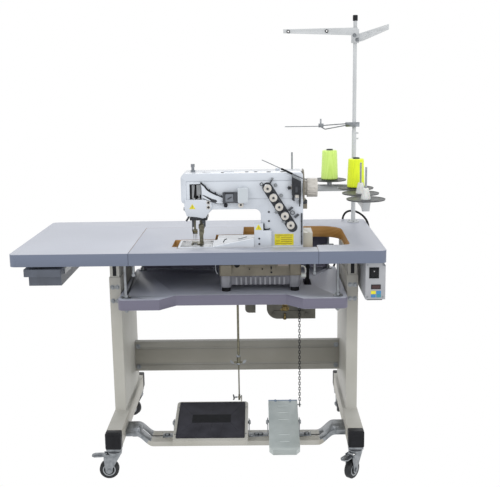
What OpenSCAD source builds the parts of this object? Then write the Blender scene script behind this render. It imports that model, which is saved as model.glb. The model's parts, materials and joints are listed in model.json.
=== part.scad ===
// Flat-bed cover-stitch sewing machine, sunk into a table with an industrial stand, a thread
// stand, a clutch-type drive unit, a control box, a treadle and a presser-lift pedal.
// Lengths are in millimetres. X runs along the table, Y from the sewer's side to the back and
// Z up from the floor. The plan is laid out from the table's front left corner and then moved
// so that the origin lies on the floor under the middle of the whole object.

/* [Table] */
// Width of the table top
table_w = 1200; // [1180:10:1500]
// Depth of the table top
table_d = 600; // [590:10:720]
// Height of the working surface above the floor
table_h = 755; // [720:5:860]
// Thickness of the table top
table_t = 40; // [30:1:44]
// Corner radius of the table top
corner_r = 20; // [5:1:40]
// Gap round the lift-out insert panel
insert_gap = 1; // [0.5:0.5:3]
// Drop from the working surface to the sunk shelf
shelf_drop = 165; // [155:1:190]
// Thickness of the sunk shelf
shelf_t = 36; // [20:1:40]
// How far the shelf's knee recess is cut back
recess_d = 55; // [20:1:70]

/* [Stand] */
// Distance from the table's left end to the stand
stand_inset = 287; // [220:1:290]
// Outside width of the stand
stand_w = 843; // [836:1:1000]
// Width of a foot beam
foot_w = 50; // [46:1:60]
// Height of a foot beam
foot_h = 56; // [40:1:70]
// Length of the steel part of a foot beam
foot_len = 515; // [500:5:600]
// Thickness of a column across the stand
column_t = 38; // [30:1:44]
// Depth of a column, front to back
column_d = 323; // [250:1:340]
// Height of the top of the outer columns
column_top = 642; // [560:1:660]
// Radius of the caster wheels
wheel_r = 32; // [28:1:34]
// Width of a caster wheel
wheel_w = 22; // [16:1:24]

/* [Machine] */
// Distance from the table's left end to the machine bed
mach_x = 530; // [500:1:560]
// Distance from the table's front edge to the needle line
needle_y = 150; // [145:1:155]
// Length of the machine bed
bed_len = 410; // [400:1:425]
// Length of the arm from its left end to the column's right face
arm_len = 394; // [385:1:410]
// Depth of the arm, front to back
arm_d = 110; // [100:1:130]
// Clear height between the bed and the underside of the arm
arm_clear = 123; // [110:1:160]
// Height of the arm casting
arm_h = 91; // [85:1:110]
// Radius of the handwheel
handwheel_r = 31; // [26:1:45]
// Needle bar stroke below its rest place
needle_down = 20; // [10:1:22]
// Presser foot lift
presser_lift = 6; // [4:0.5:7]

/* [Pedals] */
// Width of the treadle
treadle_w = 249; // [180:1:252]
// Depth of the treadle
treadle_dp = 226; // [200:1:230]
// Tilt of the treadle at rest, in degrees
treadle_tilt = 12; // [8:1:14]
// Width of the presser-lift pedal
lift_w = 101; // [80:1:103]
// Depth of the presser-lift pedal
lift_dp = 240; // [200:1:245]
// Tilt of the presser-lift pedal at rest, in degrees
lift_tilt = 20; // [14:1:22]

/* [Thread stand] */
// Height of the thread stand above the table
stand_pole_h = 755; // [650:5:850]
// Radius of the spool discs
disc_r = 62; // [50:1:66]
// Height of the spool discs above the table
disc_h = 148; // [130:1:180]
// Base radius of a thread cone
cone_r = 32; // [26:1:36]
// Height of a thread cone
cone_h = 114; // [90:1:125]

/* [Fits] */
// Radial clearance of a pin or shaft that turns or slides in a bore
run_fit = 0.05; // [0.02:0.01:0.1]

/* [Hidden] */
$fn = 48;
table_z = table_h - table_t;          // underside of the table top
shelf_z = table_h - shelf_drop;       // top of the sunk shelf
shelf_low = shelf_z - shelf_t;

// Casters and feet.
axle_z = wheel_r;
axle_r = 4;
trail = 20;                           // caster axle's offset from its swivel
swivel_z = 95;                        // lowest face of the fixed swivel ring
stem_r = 6;
foot_z = 108.5;                       // underside of the foot beams
foot_y = -10;
foot_top = foot_z + foot_h;
cap_l = 31;                           // length of a foot beam's plastic end cap
caster_y = [foot_y - 5, foot_y + foot_len - 5];
lever_reach = 75;
lever_w = 28;
lever_pin = [30, 78];                 // brake lever's pin, along the trail and up
// Left front, right front, left back, right back: direction each caster trails in.
caster_turn = [184, 231, 160, 88];
front_reach = lever_reach * sin(51) + lever_w / 2 * cos(51) - caster_y[0];
origin_y = (table_d - front_reach) / 2;

// Stand.
left_x = stand_inset;
right_x = stand_inset + stand_w;
column_y = 152;
column_wall = 2.5;
column_in = [left_x + 2 + column_t, right_x - 2 - column_t];
foot_in = [left_x + foot_w, right_x - foot_w];
bar_z = 90;                           // top of the pedal bar's low middle
bar_end_z = 127;
bar_y = [60, 147];
bar_t = 4;
bar_lip = 17;
bend_w = 58;
bend_inset = 34;

// Machine, worked out from the bed's left end and the needle line.
needle_x = mach_x + 54;
presser_x = needle_x + 22;
bed_t = 22;
bed_y = [needle_y - 70, needle_y + 150];
bed_z = table_h - bed_t;
bed_x1 = mach_x + bed_len;
notch_x = mach_x + 124;               // the bed is shallower left of here
notch_y = needle_y + 62;
base_x = [mach_x + 132, bed_x1 - 4];
base_y = [needle_y - 15, bed_y[1]];
pan_leg = 37;
foot_pad_h = 15;
pan_z = shelf_z + foot_pad_h;
base_z = pan_z + 41;
arm_x0 = mach_x + 16;
arm_x1 = arm_x0 + arm_len;
arm_y = [needle_y - arm_d / 2, needle_y + arm_d / 2];
arm_z = table_h + arm_clear;
arm_top = arm_z + arm_h;
cover_h = 26;
cap_w = 17;                           // width of the arm's end cover
cap_rise = 20;                        // its lower end's height above the arm's underside
column_x = arm_x1 - 137;
arch_r = 20;
head_z = arm_z - 30;
casting_wall = 8;
needle_bar_r = 3.5;
presser_bar_r = 4.5;
bar_top = arm_top - 24;
shaft_z = arm_top - 30;
shaft_r = 8;
web_x = arm_x0 + 130;                 // the main shaft's left bearing
crank_r = 20;
wheel_x = arm_x1 + 15;
wheel_len = 34;
tension_0 = [arm_x1 - 114.6, arm_z + 69.6];
tension_step = [18.3, -29.9];
tension_n = 5;
post_r = 3;
knob_r = 12;

// Drive under the shelf.
belt_x = bed_x1 + 18;
belt_w = 10;
belt_y = needle_y + 120;
pulley_r = 30;
flange_r = 35;
belt_t = 4;
top_pulley_z = base_z + 25;
motor_z = shelf_low - 40;
motor_x = [mach_x + 290, belt_x - 8];
motor_y = [belt_y - 65, belt_y + 65];
motor_low = shelf_low - 79;

// Pedals, rods and levers.
pivot_y = 105;
treadle_x = left_x + 215;
treadle_pivot_z = 138;
pitman_x = treadle_x + 217;
pitman_y = 230;
stud_z = 179;
lever_arm = 60;
speed_z = shelf_low - 24;
speed_x = pitman_x + 26;
pin_r = 3;
lift_x = mach_x + 292;
lift_pivot_z = 140;
chain_x = lift_x + lift_w + 9;
chain_y = 190;
hook_z = 165;
lift_lever_z = shelf_low - 11;

// Well and insert in the table top.
insert_x = [mach_x - 150, mach_x + 455];
well_x = bed_x1 + 155;
well_y = [needle_y - 75, needle_y + 305];
well_r = 80;
well_front = needle_y - 45;           // the well's front edge right of the insert
bed_cut_x = mach_x - 20;
insert_back_x = mach_x + 210;

// Control box and drawer.
box_x = [right_x + 6, table_w];
box_y = [25, 275];
box_z = [table_z - 125, table_z - 3];
rocker_x = box_x[0] + 27;
rocker_z = table_z - 37;
drawer_x = [42, 162];
drawer_y = [10, 355];
drawer_rim = [table_z - 35, table_z - 11];
drawer_low = table_z - 72;
drawer_rail = 6;

// Thread stand.
pole_x = table_w - 48;
pole_y = table_d - 69;
pole_r = [8, 7];
pole_joint = 340;
disc_z = table_h + disc_h;
disc_t = 2;
spindle_r = 3.2;
spindle_h = 106;
holder_h = 36;
left_discs = [pole_x - 90, pole_x - 230];
left_rise = 12;                       // spacer under the left discs
arm_holes = [pole_x - 104, pole_x - 242];
front_discs = [pole_y - 150, pole_y - 290, pole_y - 430];
front_disc_x = pole_x - 9;
arm_bar_z = table_h + 692;
rod_guide_z = table_h + 366;
rod_block_x = pole_x - 122;

// Cable from the control box's back, over the table's back corner and down to the motor.
cable_r = 4;
cable_steps = 3;
cable_points = [
    [1175, 276, 655], [1175, 284, 655], [1175, 300, 655], [1184, 345, 658], [1196, 395, 672],
    [1203, 440, 700], [1206, 480, 730], [1204, 520, 757], [1190, 555, 776], [1165, 580, 788],
    [1140, 596, 786], [1124, 603, 770], [1118, 605, 740], [1114, 603, 690], [1104, 594, 630],
    [1084, 572, 575], [1060, 525, 530], [1040, 460, 510], [1030, 390, 505], [1024, 345, 507],
    [1010, 322, 510], [1000, 318, 510], [994, 318, 510], [988, 318, 510]
];

// ---- Building blocks -------------------------------------------------------------------

module placed() translate([-table_w / 2, -origin_y, 0]) children();

module span(low, high) translate(low) cube(high - low);

module round_rect(w, d, r) {
    translate([r, 0]) square([w - 2 * r, d]);
    translate([0, r]) square([w, d - 2 * r]);
    for (x = [r, w - r], y = [r, d - r]) translate([x, y]) circle(r);
}

module round_span(low, high, r) {
    size = high - low;
    translate(low) linear_extrude(size[2]) round_rect(size[0], size[1], r);
}

// Cuts a square corner at p to radius r; s points out of the corner.
module corner_cut(p, s, r) {
    translate([p[0] - s[0] * r, p[1] - s[1] * r]) difference() {
        translate([s[0] > 0 ? 0 : -r - 1, s[1] > 0 ? 0 : -r - 1]) square(r + 1);
        circle(r);
    }
}

module stadium(length, w) {
    translate([-length / 2 + w / 2, -w / 2]) square([length - w, w]);
    for (x = [w / 2 - length / 2, length / 2 - w / 2]) translate([x, 0]) circle(w / 2);
}

module rod_x(x, y, z, r) translate([x[0], y, z]) rotate([0, 90, 0]) cylinder(h = x[1] - x[0], r = r);
module rod_y(x, y, z, r) translate([x, y[1], z]) rotate([90, 0, 0]) cylinder(h = y[1] - y[0], r = r);
module rod_z(x, y, z, r) translate([x, y, z[0]]) cylinder(h = z[1] - z[0], r = r);

module rod_between(p, q, r) {
    v = q - p;
    translate(p) rotate([0, acos(v[2] / norm(v)), atan2(v[1], v[0])]) cylinder(h = norm(v), r = r);
}

// Extrudes an outline drawn in X and Z between two values of Y.
module along_y(y) translate([0, y[1], 0]) rotate([90, 0, 0]) linear_extrude(y[1] - y[0]) children();

// Extrudes an outline drawn in Y and Z between two values of X.
module along_x(x) translate([x[0], 0, 0]) rotate([90, 0, 90]) linear_extrude(x[1] - x[0]) children();

// ---- Table ------------------------------------------------------------------------------

module well_outline() {
    difference() {
        union() {
            translate([insert_x[0], -1]) square([insert_x[1] - insert_x[0], well_y[0] + 2]);
            translate([insert_x[0], well_y[0]])
                square([insert_x[1] - insert_x[0], well_y[1] - well_y[0]]);
            translate([insert_x[1], well_front]) square([well_x - insert_x[1], well_y[1] - well_front]);
        }
        corner_cut([well_x, well_y[1]], [1, 1], well_r);
        corner_cut([well_x, well_front], [1, -1], corner_r);
    }
}

module table_top() {
    color("gainsboro") translate([0, 0, table_z]) linear_extrude(table_t) difference() {
        round_rect(table_w, table_d, corner_r);
        well_outline();
    }
}

module table_insert() {
    g = insert_gap;
    color("gainsboro") translate([0, 0, table_z]) linear_extrude(table_t) polygon([
        [insert_x[0] + g, 0], [insert_x[1] - g, 0], [insert_x[1] - g, well_y[0] - g],
        [mach_x - 2, well_y[0] - g], [mach_x - 2, needle_y - 52], [bed_cut_x, needle_y - 52],
        [bed_cut_x, notch_y + 8], [notch_x - 8, notch_y + 8], [notch_x - 8, bed_y[1] + 8],
        [insert_back_x, bed_y[1] + 8],
        [insert_back_x, well_y[1] - g], [insert_x[0] + g, well_y[1] - g]]);
}

// Belt slot through the sunk shelf.
module belt_slot() {
    translate([belt_x - 8, belt_y - flange_r - 6]) square([belt_w + 16, 2 * flange_r + 12]);
}

module sunk_shelf() {
    x0 = column_in[0] + 4;
    x1 = column_in[1] - 6;
    y0 = 48;
    y1 = 510;
    color("gainsboro") translate([0, 0, shelf_low]) linear_extrude(shelf_t) difference() {
        polygon([[x0, y0], [x0 + 137, y0], [x0 + 188, y0 + recess_d], [x1 - 201, y0 + recess_d],
            [x1 - 147, y0], [x1, y0], [x1, y1], [x0, y1]]);
        corner_cut([x0, y0], [-1, -1], corner_r);
        corner_cut([x1, y0], [1, -1], corner_r);
        corner_cut([x0, y1], [-1, 1], corner_r);
        corner_cut([x1, y1], [1, 1], corner_r);
        belt_slot();
        for (x = hanger_x, y = hanger_y) translate([x, y]) circle(hanger_r + 1);
    }
    // Board that closes the back, from the shelf up to the table's underside.
    color("gainsboro") span([x0 + 24, y1 - 8, shelf_z - 1], [x1 - 24, y1, table_z]);
}

hanger_r = 4.5;
hanger_x = [column_in[0] + 29, column_in[1] - 37];
hanger_y = [80, well_y[1] + 27];

// Rods that hang the shelf, their washers and nuts, the insert's latch bolts, and the bracket
// that carries the presser-lift lever.
module shelf_hardware() {
    color("silver") {
        for (x = hanger_x, y = hanger_y) {
            rod_z(x, y, [shelf_low - 14, table_z - 4], hanger_r);
            rod_z(x, y, [shelf_z, shelf_z + 2.5], 17);
            rod_z(x, y, [shelf_z + 2.5, shelf_z + 10], 8);
            rod_z(x, y, [shelf_low - 2.5, shelf_low], 14);
            rod_z(x, y, [shelf_low - 10, shelf_low - 2.5], 8);
            rod_z(x, y, [table_z - 4, table_z], 18);
        }
        for (x = hanger_x) span([x - 21, hanger_y[1] - 5, table_z - 38], [x + 21, hanger_y[1] + 5, table_z - 33]);
        for (x = [insert_x[0] + 12, insert_x[1] - 12]) {
            rod_z(x, 30, [table_z - 32, table_z], 4);
            translate([x, 30, table_z - 36]) sphere(7);
        }
    }
    color("dimgray") difference() {
        union() {
            span([chain_x - 9, 118, shelf_low - 3], [chain_x + 9, 142, shelf_low]);
            for (x = [chain_x - 9, chain_x + 6])
                span([x, 122, lift_lever_z - 7], [x + 3, 138, shelf_low - 3]);
        }
        rod_x([chain_x - 10, chain_x + 10], 130, lift_lever_z, pin_r + run_fit);
    }
}

// ---- Stand ------------------------------------------------------------------------------

module tube(low, high, wall, along) {
    inner = [for (i = [0:2]) i == along ? 1 : -wall];
    difference() {
        span(low, high);
        span([for (i = [0:2]) low[i] - inner[i]], [for (i = [0:2]) high[i] + inner[i]]);
    }
}

// One side: foot beam, outer column, telescoping inner post with its flange.
module stand_side(x, column) {
    tube([x, foot_y, foot_z], [x + foot_w, foot_y + foot_len, foot_top], 2, 1);
    tube([column, column_y, foot_top], [column + column_t, column_y + column_d, column_top],
        column_wall, 2);
    post_gap = column_wall + 0.5;
    post_y = [column_y + post_gap, column_y + column_d - post_gap];
    difference() {
        tube([column + post_gap, post_y[0], column_top - 160],
            [column + column_t - post_gap, post_y[1], table_z - 3], 2, 2);
        translate([column + column_t / 2 - 5, post_y[0] - 1, column_top + 14])
            cube([10, 4, table_z - column_top - 30]);
    }
    span([column - 2, post_y[0], table_z - 3], [column + column_t + 2, post_y[1], table_z]);
}

module stand_sides() {
    color("beige") {
        stand_side(left_x, left_x + 2);
        stand_side(right_x - foot_w, right_x - 2 - column_t);
    }
}

module foot_caps() {
    color("black") for (x = [left_x, right_x - foot_w], back = [0, 1]) {
        low = back == 1 ? foot_y + foot_len : foot_y - cap_l;
        span([x - 1, low, foot_z], [x + foot_w + 1, low + cap_l, foot_top + 1]);
    }
}

module stand_crossbar() {
    y = 398;
    low = 220;
    high = 334;
    color("beige") along_x(column_in) difference() {
        translate([y, low]) square([24, high - low]);
        translate([y + 2.5, low + 2.5]) square([22, high - low - 5]);
        for (z = [low + 22, high - 30]) translate([y - 1, z]) square([2.2, 8]);
    }
}

// Height of the pedal bar's top at a distance x from its end.
function bend_z(x) = let (t = min(1, max(0, (x - bend_inset) / bend_w)))
    bar_end_z + (bar_z - bar_end_z) * (1 - cos(180 * t)) / 2;

module bar_outline(depth) {
    length = foot_in[1] - foot_in[0];
    left = [for (i = [0:8]) bend_inset + bend_w * i / 8];
    right = [for (i = [8:-1:0]) length - bend_inset - bend_w * i / 8];
    xs = concat([0], left, right, [length]);
    top = [for (x = xs) [foot_in[0] + x, bend_z(min(x, length - x))]];
    low = [for (i = [len(xs) - 1:-1:0]) [top[i][0], top[i][1] - depth]];
    polygon(concat(top, low));
}

// Clevis on the pedal bar that carries one end of a pedal on a short pin.
module pedal_bracket(x, out, z) {
    plate = out > 0 ? [x, x + 3] : [x - 3, x];
    foot = out > 0 ? [x, x + 42] : [x - 42, x];
    span([foot[0], pivot_y - 16, bar_z], [foot[1], pivot_y + 16, bar_z + 3]);
    span([plate[0], pivot_y - 11, bar_z + 3], [plate[1], pivot_y + 11, z + 9]);
    rod_x(out > 0 ? [x - 14, x] : [x, x + 14], pivot_y, z, 5);
    rod_z((foot[0] + foot[1]) / 2 + 6 * out, pivot_y, [bar_z + 3, bar_z + 9], 6);
}

module pedal_bar() {
    color("beige") difference() {
        union() {
            along_y(bar_y) bar_outline(bar_t);
            along_y([bar_y[0], bar_y[0] + bar_t]) bar_outline(bar_lip);
            along_y([bar_y[1] - bar_t, bar_y[1]]) bar_outline(bar_lip);
        }
        for (x = [foot_in[0] + 160, foot_in[1] - 180])
            translate([x, pivot_y, bar_z - 10]) linear_extrude(60) stadium(220, 9);
    }
    color("silver") {
        pedal_bracket(treadle_x - 2, -1, treadle_pivot_z);
        pedal_bracket(treadle_x + treadle_w + 2, 1, treadle_pivot_z);
        pedal_bracket(lift_x - 2, -1, lift_pivot_z);
        pedal_bracket(lift_x + lift_w + 2, 1, lift_pivot_z);
    }
}

// ---- Casters -----------------------------------------------------------------------------

caster_x = [left_x + foot_w / 2, right_x - foot_w / 2];
function caster_at(i) = [caster_x[i % 2], caster_y[floor(i / 2)], 0];

module caster_plates() {
    color("silver") for (i = [0:3]) translate(caster_at(i)) difference() {
        union() {
            span([-24, -22, foot_z - 7.5], [24, 22, foot_z]);
            rod_z(0, 0, [swivel_z, foot_z - 7.5], 22);
        }
        rod_z(0, 0, [swivel_z - 1, foot_z - 3], stem_r + run_fit);
    }
}

module fork_cheek() {
    polygon([[-20, swivel_z - 9], [36, swivel_z - 9], [36, 70], [trail + 12, 34],
        [trail + 9, axle_z - 8], [trail - 9, axle_z - 8], [trail - 13, 40]]);
    translate([trail, axle_z]) circle(12);
}

module caster_fork(i) {
    cheek = wheel_w / 2 + 2;
    color("lightgray") translate(caster_at(i)) rotate([0, 0, caster_turn[i]]) {
        rod_z(0, 0, [swivel_z - 9, swivel_z - 0.6], 23);
        rod_z(0, 0, [swivel_z - 1, foot_z - 4], stem_r);
        along_y([cheek, cheek + 3]) fork_cheek();
        along_y([-cheek - 3, -cheek]) fork_cheek();
        rod_y(trail, [-cheek - 5, cheek + 5], axle_z, axle_r);
        rod_y(lever_pin[0], [-cheek - 4, cheek + 4], lever_pin[1], 2.5);
    }
}

module caster_wheel(i) {
    half = wheel_w / 2;
    color("dimgray") translate(caster_at(i)) rotate([0, 0, caster_turn[i]])
        translate([trail, 0, axle_z]) rotate([90, 0, 0]) rotate_extrude()
            polygon([[axle_r + run_fit, -half], [wheel_r - 3, -half], [wheel_r, -half + 4],
                [wheel_r, half - 4], [wheel_r - 3, half], [axle_r + run_fit, half]]);
}

module brake_lever(i) {
    half = lever_w / 2;
    hub = wheel_w / 2 + 1;
    color("lightgray") translate(caster_at(i)) rotate([0, 0, caster_turn[i]]) difference() {
        union() {
            rod_y(lever_pin[0], [-hub, hub], lever_pin[1], 6);
            translate([lever_pin[0] + 7, 0, 79])
                linear_extrude(4) polygon([[-7, -hub], [8, -half], [30, -half], [38, -half + 8],
                    [38, half - 8], [30, half], [8, half], [-7, hub]]);
        }
        rod_y(lever_pin[0], [-hub - 1, hub + 1], lever_pin[1], 2.5 + run_fit);
    }
}

// ---- Treadle and its rod -------------------------------------------------------------------

module tilted(z, tilt) translate([0, pivot_y, z]) rotate([tilt, 0, 0]) children();

module treadle_frame() {
    y = [-treadle_dp / 2 - 4, treadle_dp / 2 - 4];
    x = [treadle_x, treadle_x + treadle_w];
    color("beige") {
        tilted(treadle_pivot_z, treadle_tilt) difference() {
            union() {
                difference() {
                    round_span([x[0], y[0], -9], [x[1], y[1], 11], 14);
                    round_span([x[0] + 6, y[0] + 6, -10], [x[1] - 6, y[1] - 6, 5], 8);
                }
                rod_x([x[0] + 6, x[0] + 18], 0, 0, 9);
                rod_x([x[1] - 18, x[1] - 6], 0, 0, 9);
            }
            rod_x([x[0] - 1, x[0] + 19], 0, 0, 5 + run_fit);
            rod_x([x[1] - 19, x[1] + 1], 0, 0, 5 + run_fit);
        }
        // Ear and stud that the rod hooks over.
        rear = pivot_y + treadle_dp / 2 - 8;
        span([pitman_x + 6, rear - 2, stud_z - 22], [pitman_x + 10, pitman_y + 5, stud_z + 5]);
        rod_x([pitman_x - 6, pitman_x + 6], pitman_y, stud_z, pin_r);
    }
}

module treadle_mat() {
    y = [-treadle_dp / 2 - 4, treadle_dp / 2 - 4];
    color("darkslategray") tilted(treadle_pivot_z, treadle_tilt)
        round_span([treadle_x + 10, y[0] + 14, 11], [treadle_x + treadle_w - 10, y[1] - 8, 14], 4);
}

// Flat eye with a slot across it, which gives a stud room to swing.
module rod_eye(y, z) {
    along_x([pitman_x - 3, pitman_x + 3]) translate([y, z]) difference() {
        stadium(28, 18);
        stadium(20, 2 * pin_r + 3);
    }
}

module pitman_rod() {
    clamp_z = 300;
    color("silver") {
        rod_eye(pitman_y, speed_z);
        rod_eye(pitman_y, stud_z);
        rod_z(pitman_x, pitman_y, [clamp_z + 14, speed_z - 8.5], 4);
        rod_z(pitman_x, pitman_y, [stud_z + 8.5, clamp_z + 14], 2.4);
        rod_z(pitman_x, pitman_y, [clamp_z, clamp_z + 30], 6.5);
        rod_x([pitman_x - 16, pitman_x + 14], pitman_y, clamp_z + 10, 3);
    }
}

module speed_lever() {
    pivot = pitman_y + lever_arm;
    color("black") {
        rod_x([pitman_x + 5, pitman_x + 11], pivot, speed_z, 10);
        rod_x([pitman_x + 11, speed_x + 12], pivot, speed_z, 5);
        span([pitman_x + 5, pitman_y - 5, speed_z - 5], [pitman_x + 11, pivot, speed_z + 5]);
        rod_x([pitman_x - 5, pitman_x + 5], pitman_y, speed_z, pin_r);
    }
}

module speed_control() {
    pivot = pitman_y + lever_arm;
    color("gray") difference() {
        along_y([pivot - 65, pivot + 25]) difference() {
            translate([speed_x, shelf_low - 62]) square([36, 62]);
            corner_cut([speed_x, shelf_low - 62], [-1, -1], 14);
        }
        rod_x([speed_x - 1, speed_x + 14], pivot, speed_z, 5 + run_fit);
    }
}

// ---- Presser-lift pedal, chain and lever ----------------------------------------------------

module lift_pedal() {
    x = [lift_x, lift_x + lift_w];
    y = [-lift_dp * 0.62, lift_dp * 0.38];
    color("lightgray") {
        tilted(lift_pivot_z, lift_tilt) difference() {
            union() {
                difference() {
                    translate([0, 0, -8]) linear_extrude(22) polygon([[x[0] + 12, y[0]],
                        [x[1] - 12, y[0]], [x[1], y[0] + 14], [x[1], y[1]], [x[0], y[1]],
                        [x[0], y[0] + 14]]);
                    translate([0, 0, -9]) linear_extrude(19) polygon([[x[0] + 16, y[0] + 5],
                        [x[1] - 16, y[0] + 5], [x[1] - 4, y[0] + 18], [x[1] - 4, y[1] - 4],
                        [x[0] + 4, y[1] - 4], [x[0] + 4, y[0] + 18]]);
                }
                rod_x([x[0] + 4, x[0] + 18], 0, 0, 8);
                rod_x([x[1] - 18, x[1] - 4], 0, 0, 8);
            }
            rod_x([x[0] - 1, x[0] + 19], 0, 0, 5 + run_fit);
            rod_x([x[1] - 19, x[1] + 1], 0, 0, 5 + run_fit);
        }
        rod_x([x[1] - 3, chain_x + 5], chain_y, hook_z, 2.5);
    }
}

link_l = 14;
link_w = 8;
link_pitch = 9.6;

module chain_link(turn) {
    rotate([0, 0, turn]) along_x([-1, 1]) rotate([0, 0, 90]) difference() {
        stadium(link_l, link_w);
        stadium(link_l - 4, link_w - 4);
    }
}

// Slotted end plate of the chain, in Y and Z about its stud.
module chain_eye(z) {
    along_x([chain_x - 1.5, chain_x + 1.5]) translate([chain_y, z]) difference() {
        stadium(24, 13);
        stadium(17, 8);
    }
}

module lift_chain() {
    first = hook_z + 6.5;
    last = lift_lever_z - 6.5;
    count = floor((last - first) / link_pitch);
    color("black") {
        chain_eye(hook_z);
        chain_eye(lift_lever_z);
        for (i = [0:count - 1])
            translate([chain_x, chain_y, first + link_pitch * (i + 0.5)]) chain_link(90 * (i % 2));
        rod_z(chain_x, chain_y, [first - 0.5, first + 3], 1);
        rod_z(chain_x, chain_y, [first + link_pitch * count - 2, last + 0.5], 1);
    }
}

module lift_lever() {
    color("black") difference() {
        union() {
            span([chain_x + 2.5, 124, lift_lever_z - 4], [chain_x + 5.5, chain_y + 5, lift_lever_z + 4]);
            rod_x([chain_x - 12, chain_x + 12], 130, lift_lever_z, pin_r);
            rod_x([chain_x - 3, chain_x + 2.5], chain_y, lift_lever_z, 2.5);
        }
    }
}

// ---- Drive ----------------------------------------------------------------------------------

module pulley(z) {
    rod_x([belt_x - 3, belt_x - 0.5], belt_y, z, flange_r);
    rod_x([belt_x - 0.5, belt_x + belt_w + 0.5], belt_y, z, pulley_r);
    rod_x([belt_x + belt_w + 0.5, belt_x + belt_w + 3], belt_y, z, flange_r);
}

module motor() {
    x = [motor_x[0], belt_x + belt_w + 20];
    color("dimgray") difference() {
        union() {
            along_y(motor_y) difference() {
                translate([motor_x[0], motor_low]) square([motor_x[1] - motor_x[0], shelf_low - motor_low]);
                corner_cut([motor_x[0], motor_low], [-1, -1], 38);
            }
            span([motor_x[1], motor_y[0], motor_low], [x[1], motor_y[1], motor_low + 2.5]);
            span([x[1] - 3, motor_y[0], motor_low + 2.5], [x[1], motor_y[1], shelf_low]);
            span([motor_x[1], motor_y[0], motor_low + 2.5], [x[1] - 3, motor_y[0] + 2.5, shelf_low]);
        }
        rod_x([motor_x[1] - 40, motor_x[1] + 1], belt_y, motor_z, shaft_r + run_fit);
    }
}

module motor_pulley() {
    color("silver") {
        pulley(motor_z);
        rod_x([motor_x[1] - 38, belt_x - 3], belt_y, motor_z, shaft_r);
    }
}

module lower_pulley() {
    color("silver") {
        pulley(top_pulley_z);
        rod_x([base_x[0] + 26, belt_x - 3], belt_y, top_pulley_z, shaft_r);
    }
}

module drive_belt() {
    r = pulley_r + 0.3;
    color("black") along_x([belt_x, belt_x + belt_w]) difference() {
        union() {
            for (z = [motor_z, top_pulley_z]) translate([belt_y, z]) circle(r + belt_t);
            translate([belt_y - r - belt_t, motor_z]) square([2 * (r + belt_t), top_pulley_z - motor_z]);
        }
        for (z = [motor_z, top_pulley_z]) translate([belt_y, z]) circle(r);
        translate([belt_y - r, motor_z]) square([2 * r, top_pulley_z - motor_z]);
    }
}

// ---- Machine --------------------------------------------------------------------------------

module machine_feet() {
    color("black") for (x = [base_x[0] + 3, base_x[1] - pan_leg - 3], y = [base_y[0] + 5, base_y[1] - pan_leg - 5])
        rod_z(x + pan_leg / 2, y + pan_leg / 2, [shelf_z, pan_z], 15);
}

module oil_pan() {
    fins = 11;
    pitch = 16;
    x = [base_x[0] + 3, base_x[1] - 3];
    y = [base_y[0] + 5, base_y[1] - 5];
    inner_x = x[0] + pan_leg;
    fin_x0 = inner_x + (x[1] - pan_leg - inner_x - (fins - 1) * pitch - 6) / 2;
    color("silver") {
        difference() {
            union() {
                span([inner_x - 8, y[0] + 8, pan_z + 8], [x[1] - pan_leg + 8, y[1] - 8, base_z]);
                span([x[0] + 8, y[0] + pan_leg, pan_z + 8], [x[1] - 8, y[1] - pan_leg, base_z]);
            }
            span([inner_x, y[0] + 14, pan_z + 14], [x[1] - pan_leg, y[1] - 14, base_z + 1]);
        }
        for (cx = [x[0], x[1] - pan_leg], cy = [y[0], y[1] - pan_leg])
            round_span([cx, cy, pan_z], [cx + pan_leg, cy + pan_leg, base_z], 12);
        for (i = [0:fins - 1])
            span([fin_x0 + pitch * i, y[0] + 3, pan_z + 8], [fin_x0 + pitch * i + 6, y[1] - 3, base_z - 6]);
    }
}

// The lower casting is open to the pan below, with bearings for the lower shaft.
module machine_base() {
    w = casting_wall;
    color("ivory") difference() {
        union() {
            difference() {
                round_span([base_x[0], base_y[0], base_z], [base_x[1], base_y[1], bed_z], 10);
                span([base_x[0] + w, base_y[0] + w, base_z - 1], [base_x[1] - w, base_y[1] - w, bed_z - w]);
            }
            for (x = [base_x[0] + 30, base_x[1] - w - 24])
                span([x, belt_y - 18, base_z], [x + 24, base_y[1] - w + 1, bed_z - w + 1]);
            rod_y(base_x[0] + 60, [base_y[0] - 4, base_y[0] + 1], base_z + 40, 9);
        }
        rod_x([base_x[0] + 29, base_x[1] + 1], belt_y, top_pulley_z, shaft_r + run_fit);
    }
}

needle_hole = [18, 8];

module machine_bed() {
    color("white") difference() {
        union() {
            span([mach_x, bed_y[0], bed_z], [bed_x1, bed_y[1], table_h]);
            // Cover of the lower shaft's end, right of the column.
            span([arm_x1, arm_y[0] + 15, bed_z - 18], [arm_x1 + 32, arm_y[1], table_h + 40]);
            // Sloping cloth cover in front of the arm.
            along_y([bed_y[0], arm_y[0] + 20])
                polygon([[mach_x + 118, table_h], [mach_x + 250, table_h], [mach_x + 250, table_h + 28]]);
        }
        plate_recess();
        // The insert reaches in behind the needle plate.
        span([mach_x - 1, notch_y, bed_z - 1], [notch_x, bed_y[1] + 1, table_h + 1]);
        translate([needle_x, needle_y, bed_z - 1])
            linear_extrude(bed_t + 2) stadium(needle_hole[0], needle_hole[1]);
    }
}

plate_t = 2;
plate_x = [mach_x + 8, mach_x + 112];
plate_y = [bed_y[0] + 20, needle_y + 50];

module plate_recess() {
    span([plate_x[0], plate_y[0], table_h - plate_t], [plate_x[1], plate_y[1], table_h + 1]);
}

module needle_plate() {
    color("silver") difference() {
        span([plate_x[0], plate_y[0], table_h - plate_t], [plate_x[1], plate_y[1], table_h]);
        translate([needle_x, needle_y, table_h - plate_t - 1])
            linear_extrude(plate_t + 2) stadium(needle_hole[0] - 2, needle_hole[1] - 3);
    }
}

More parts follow.
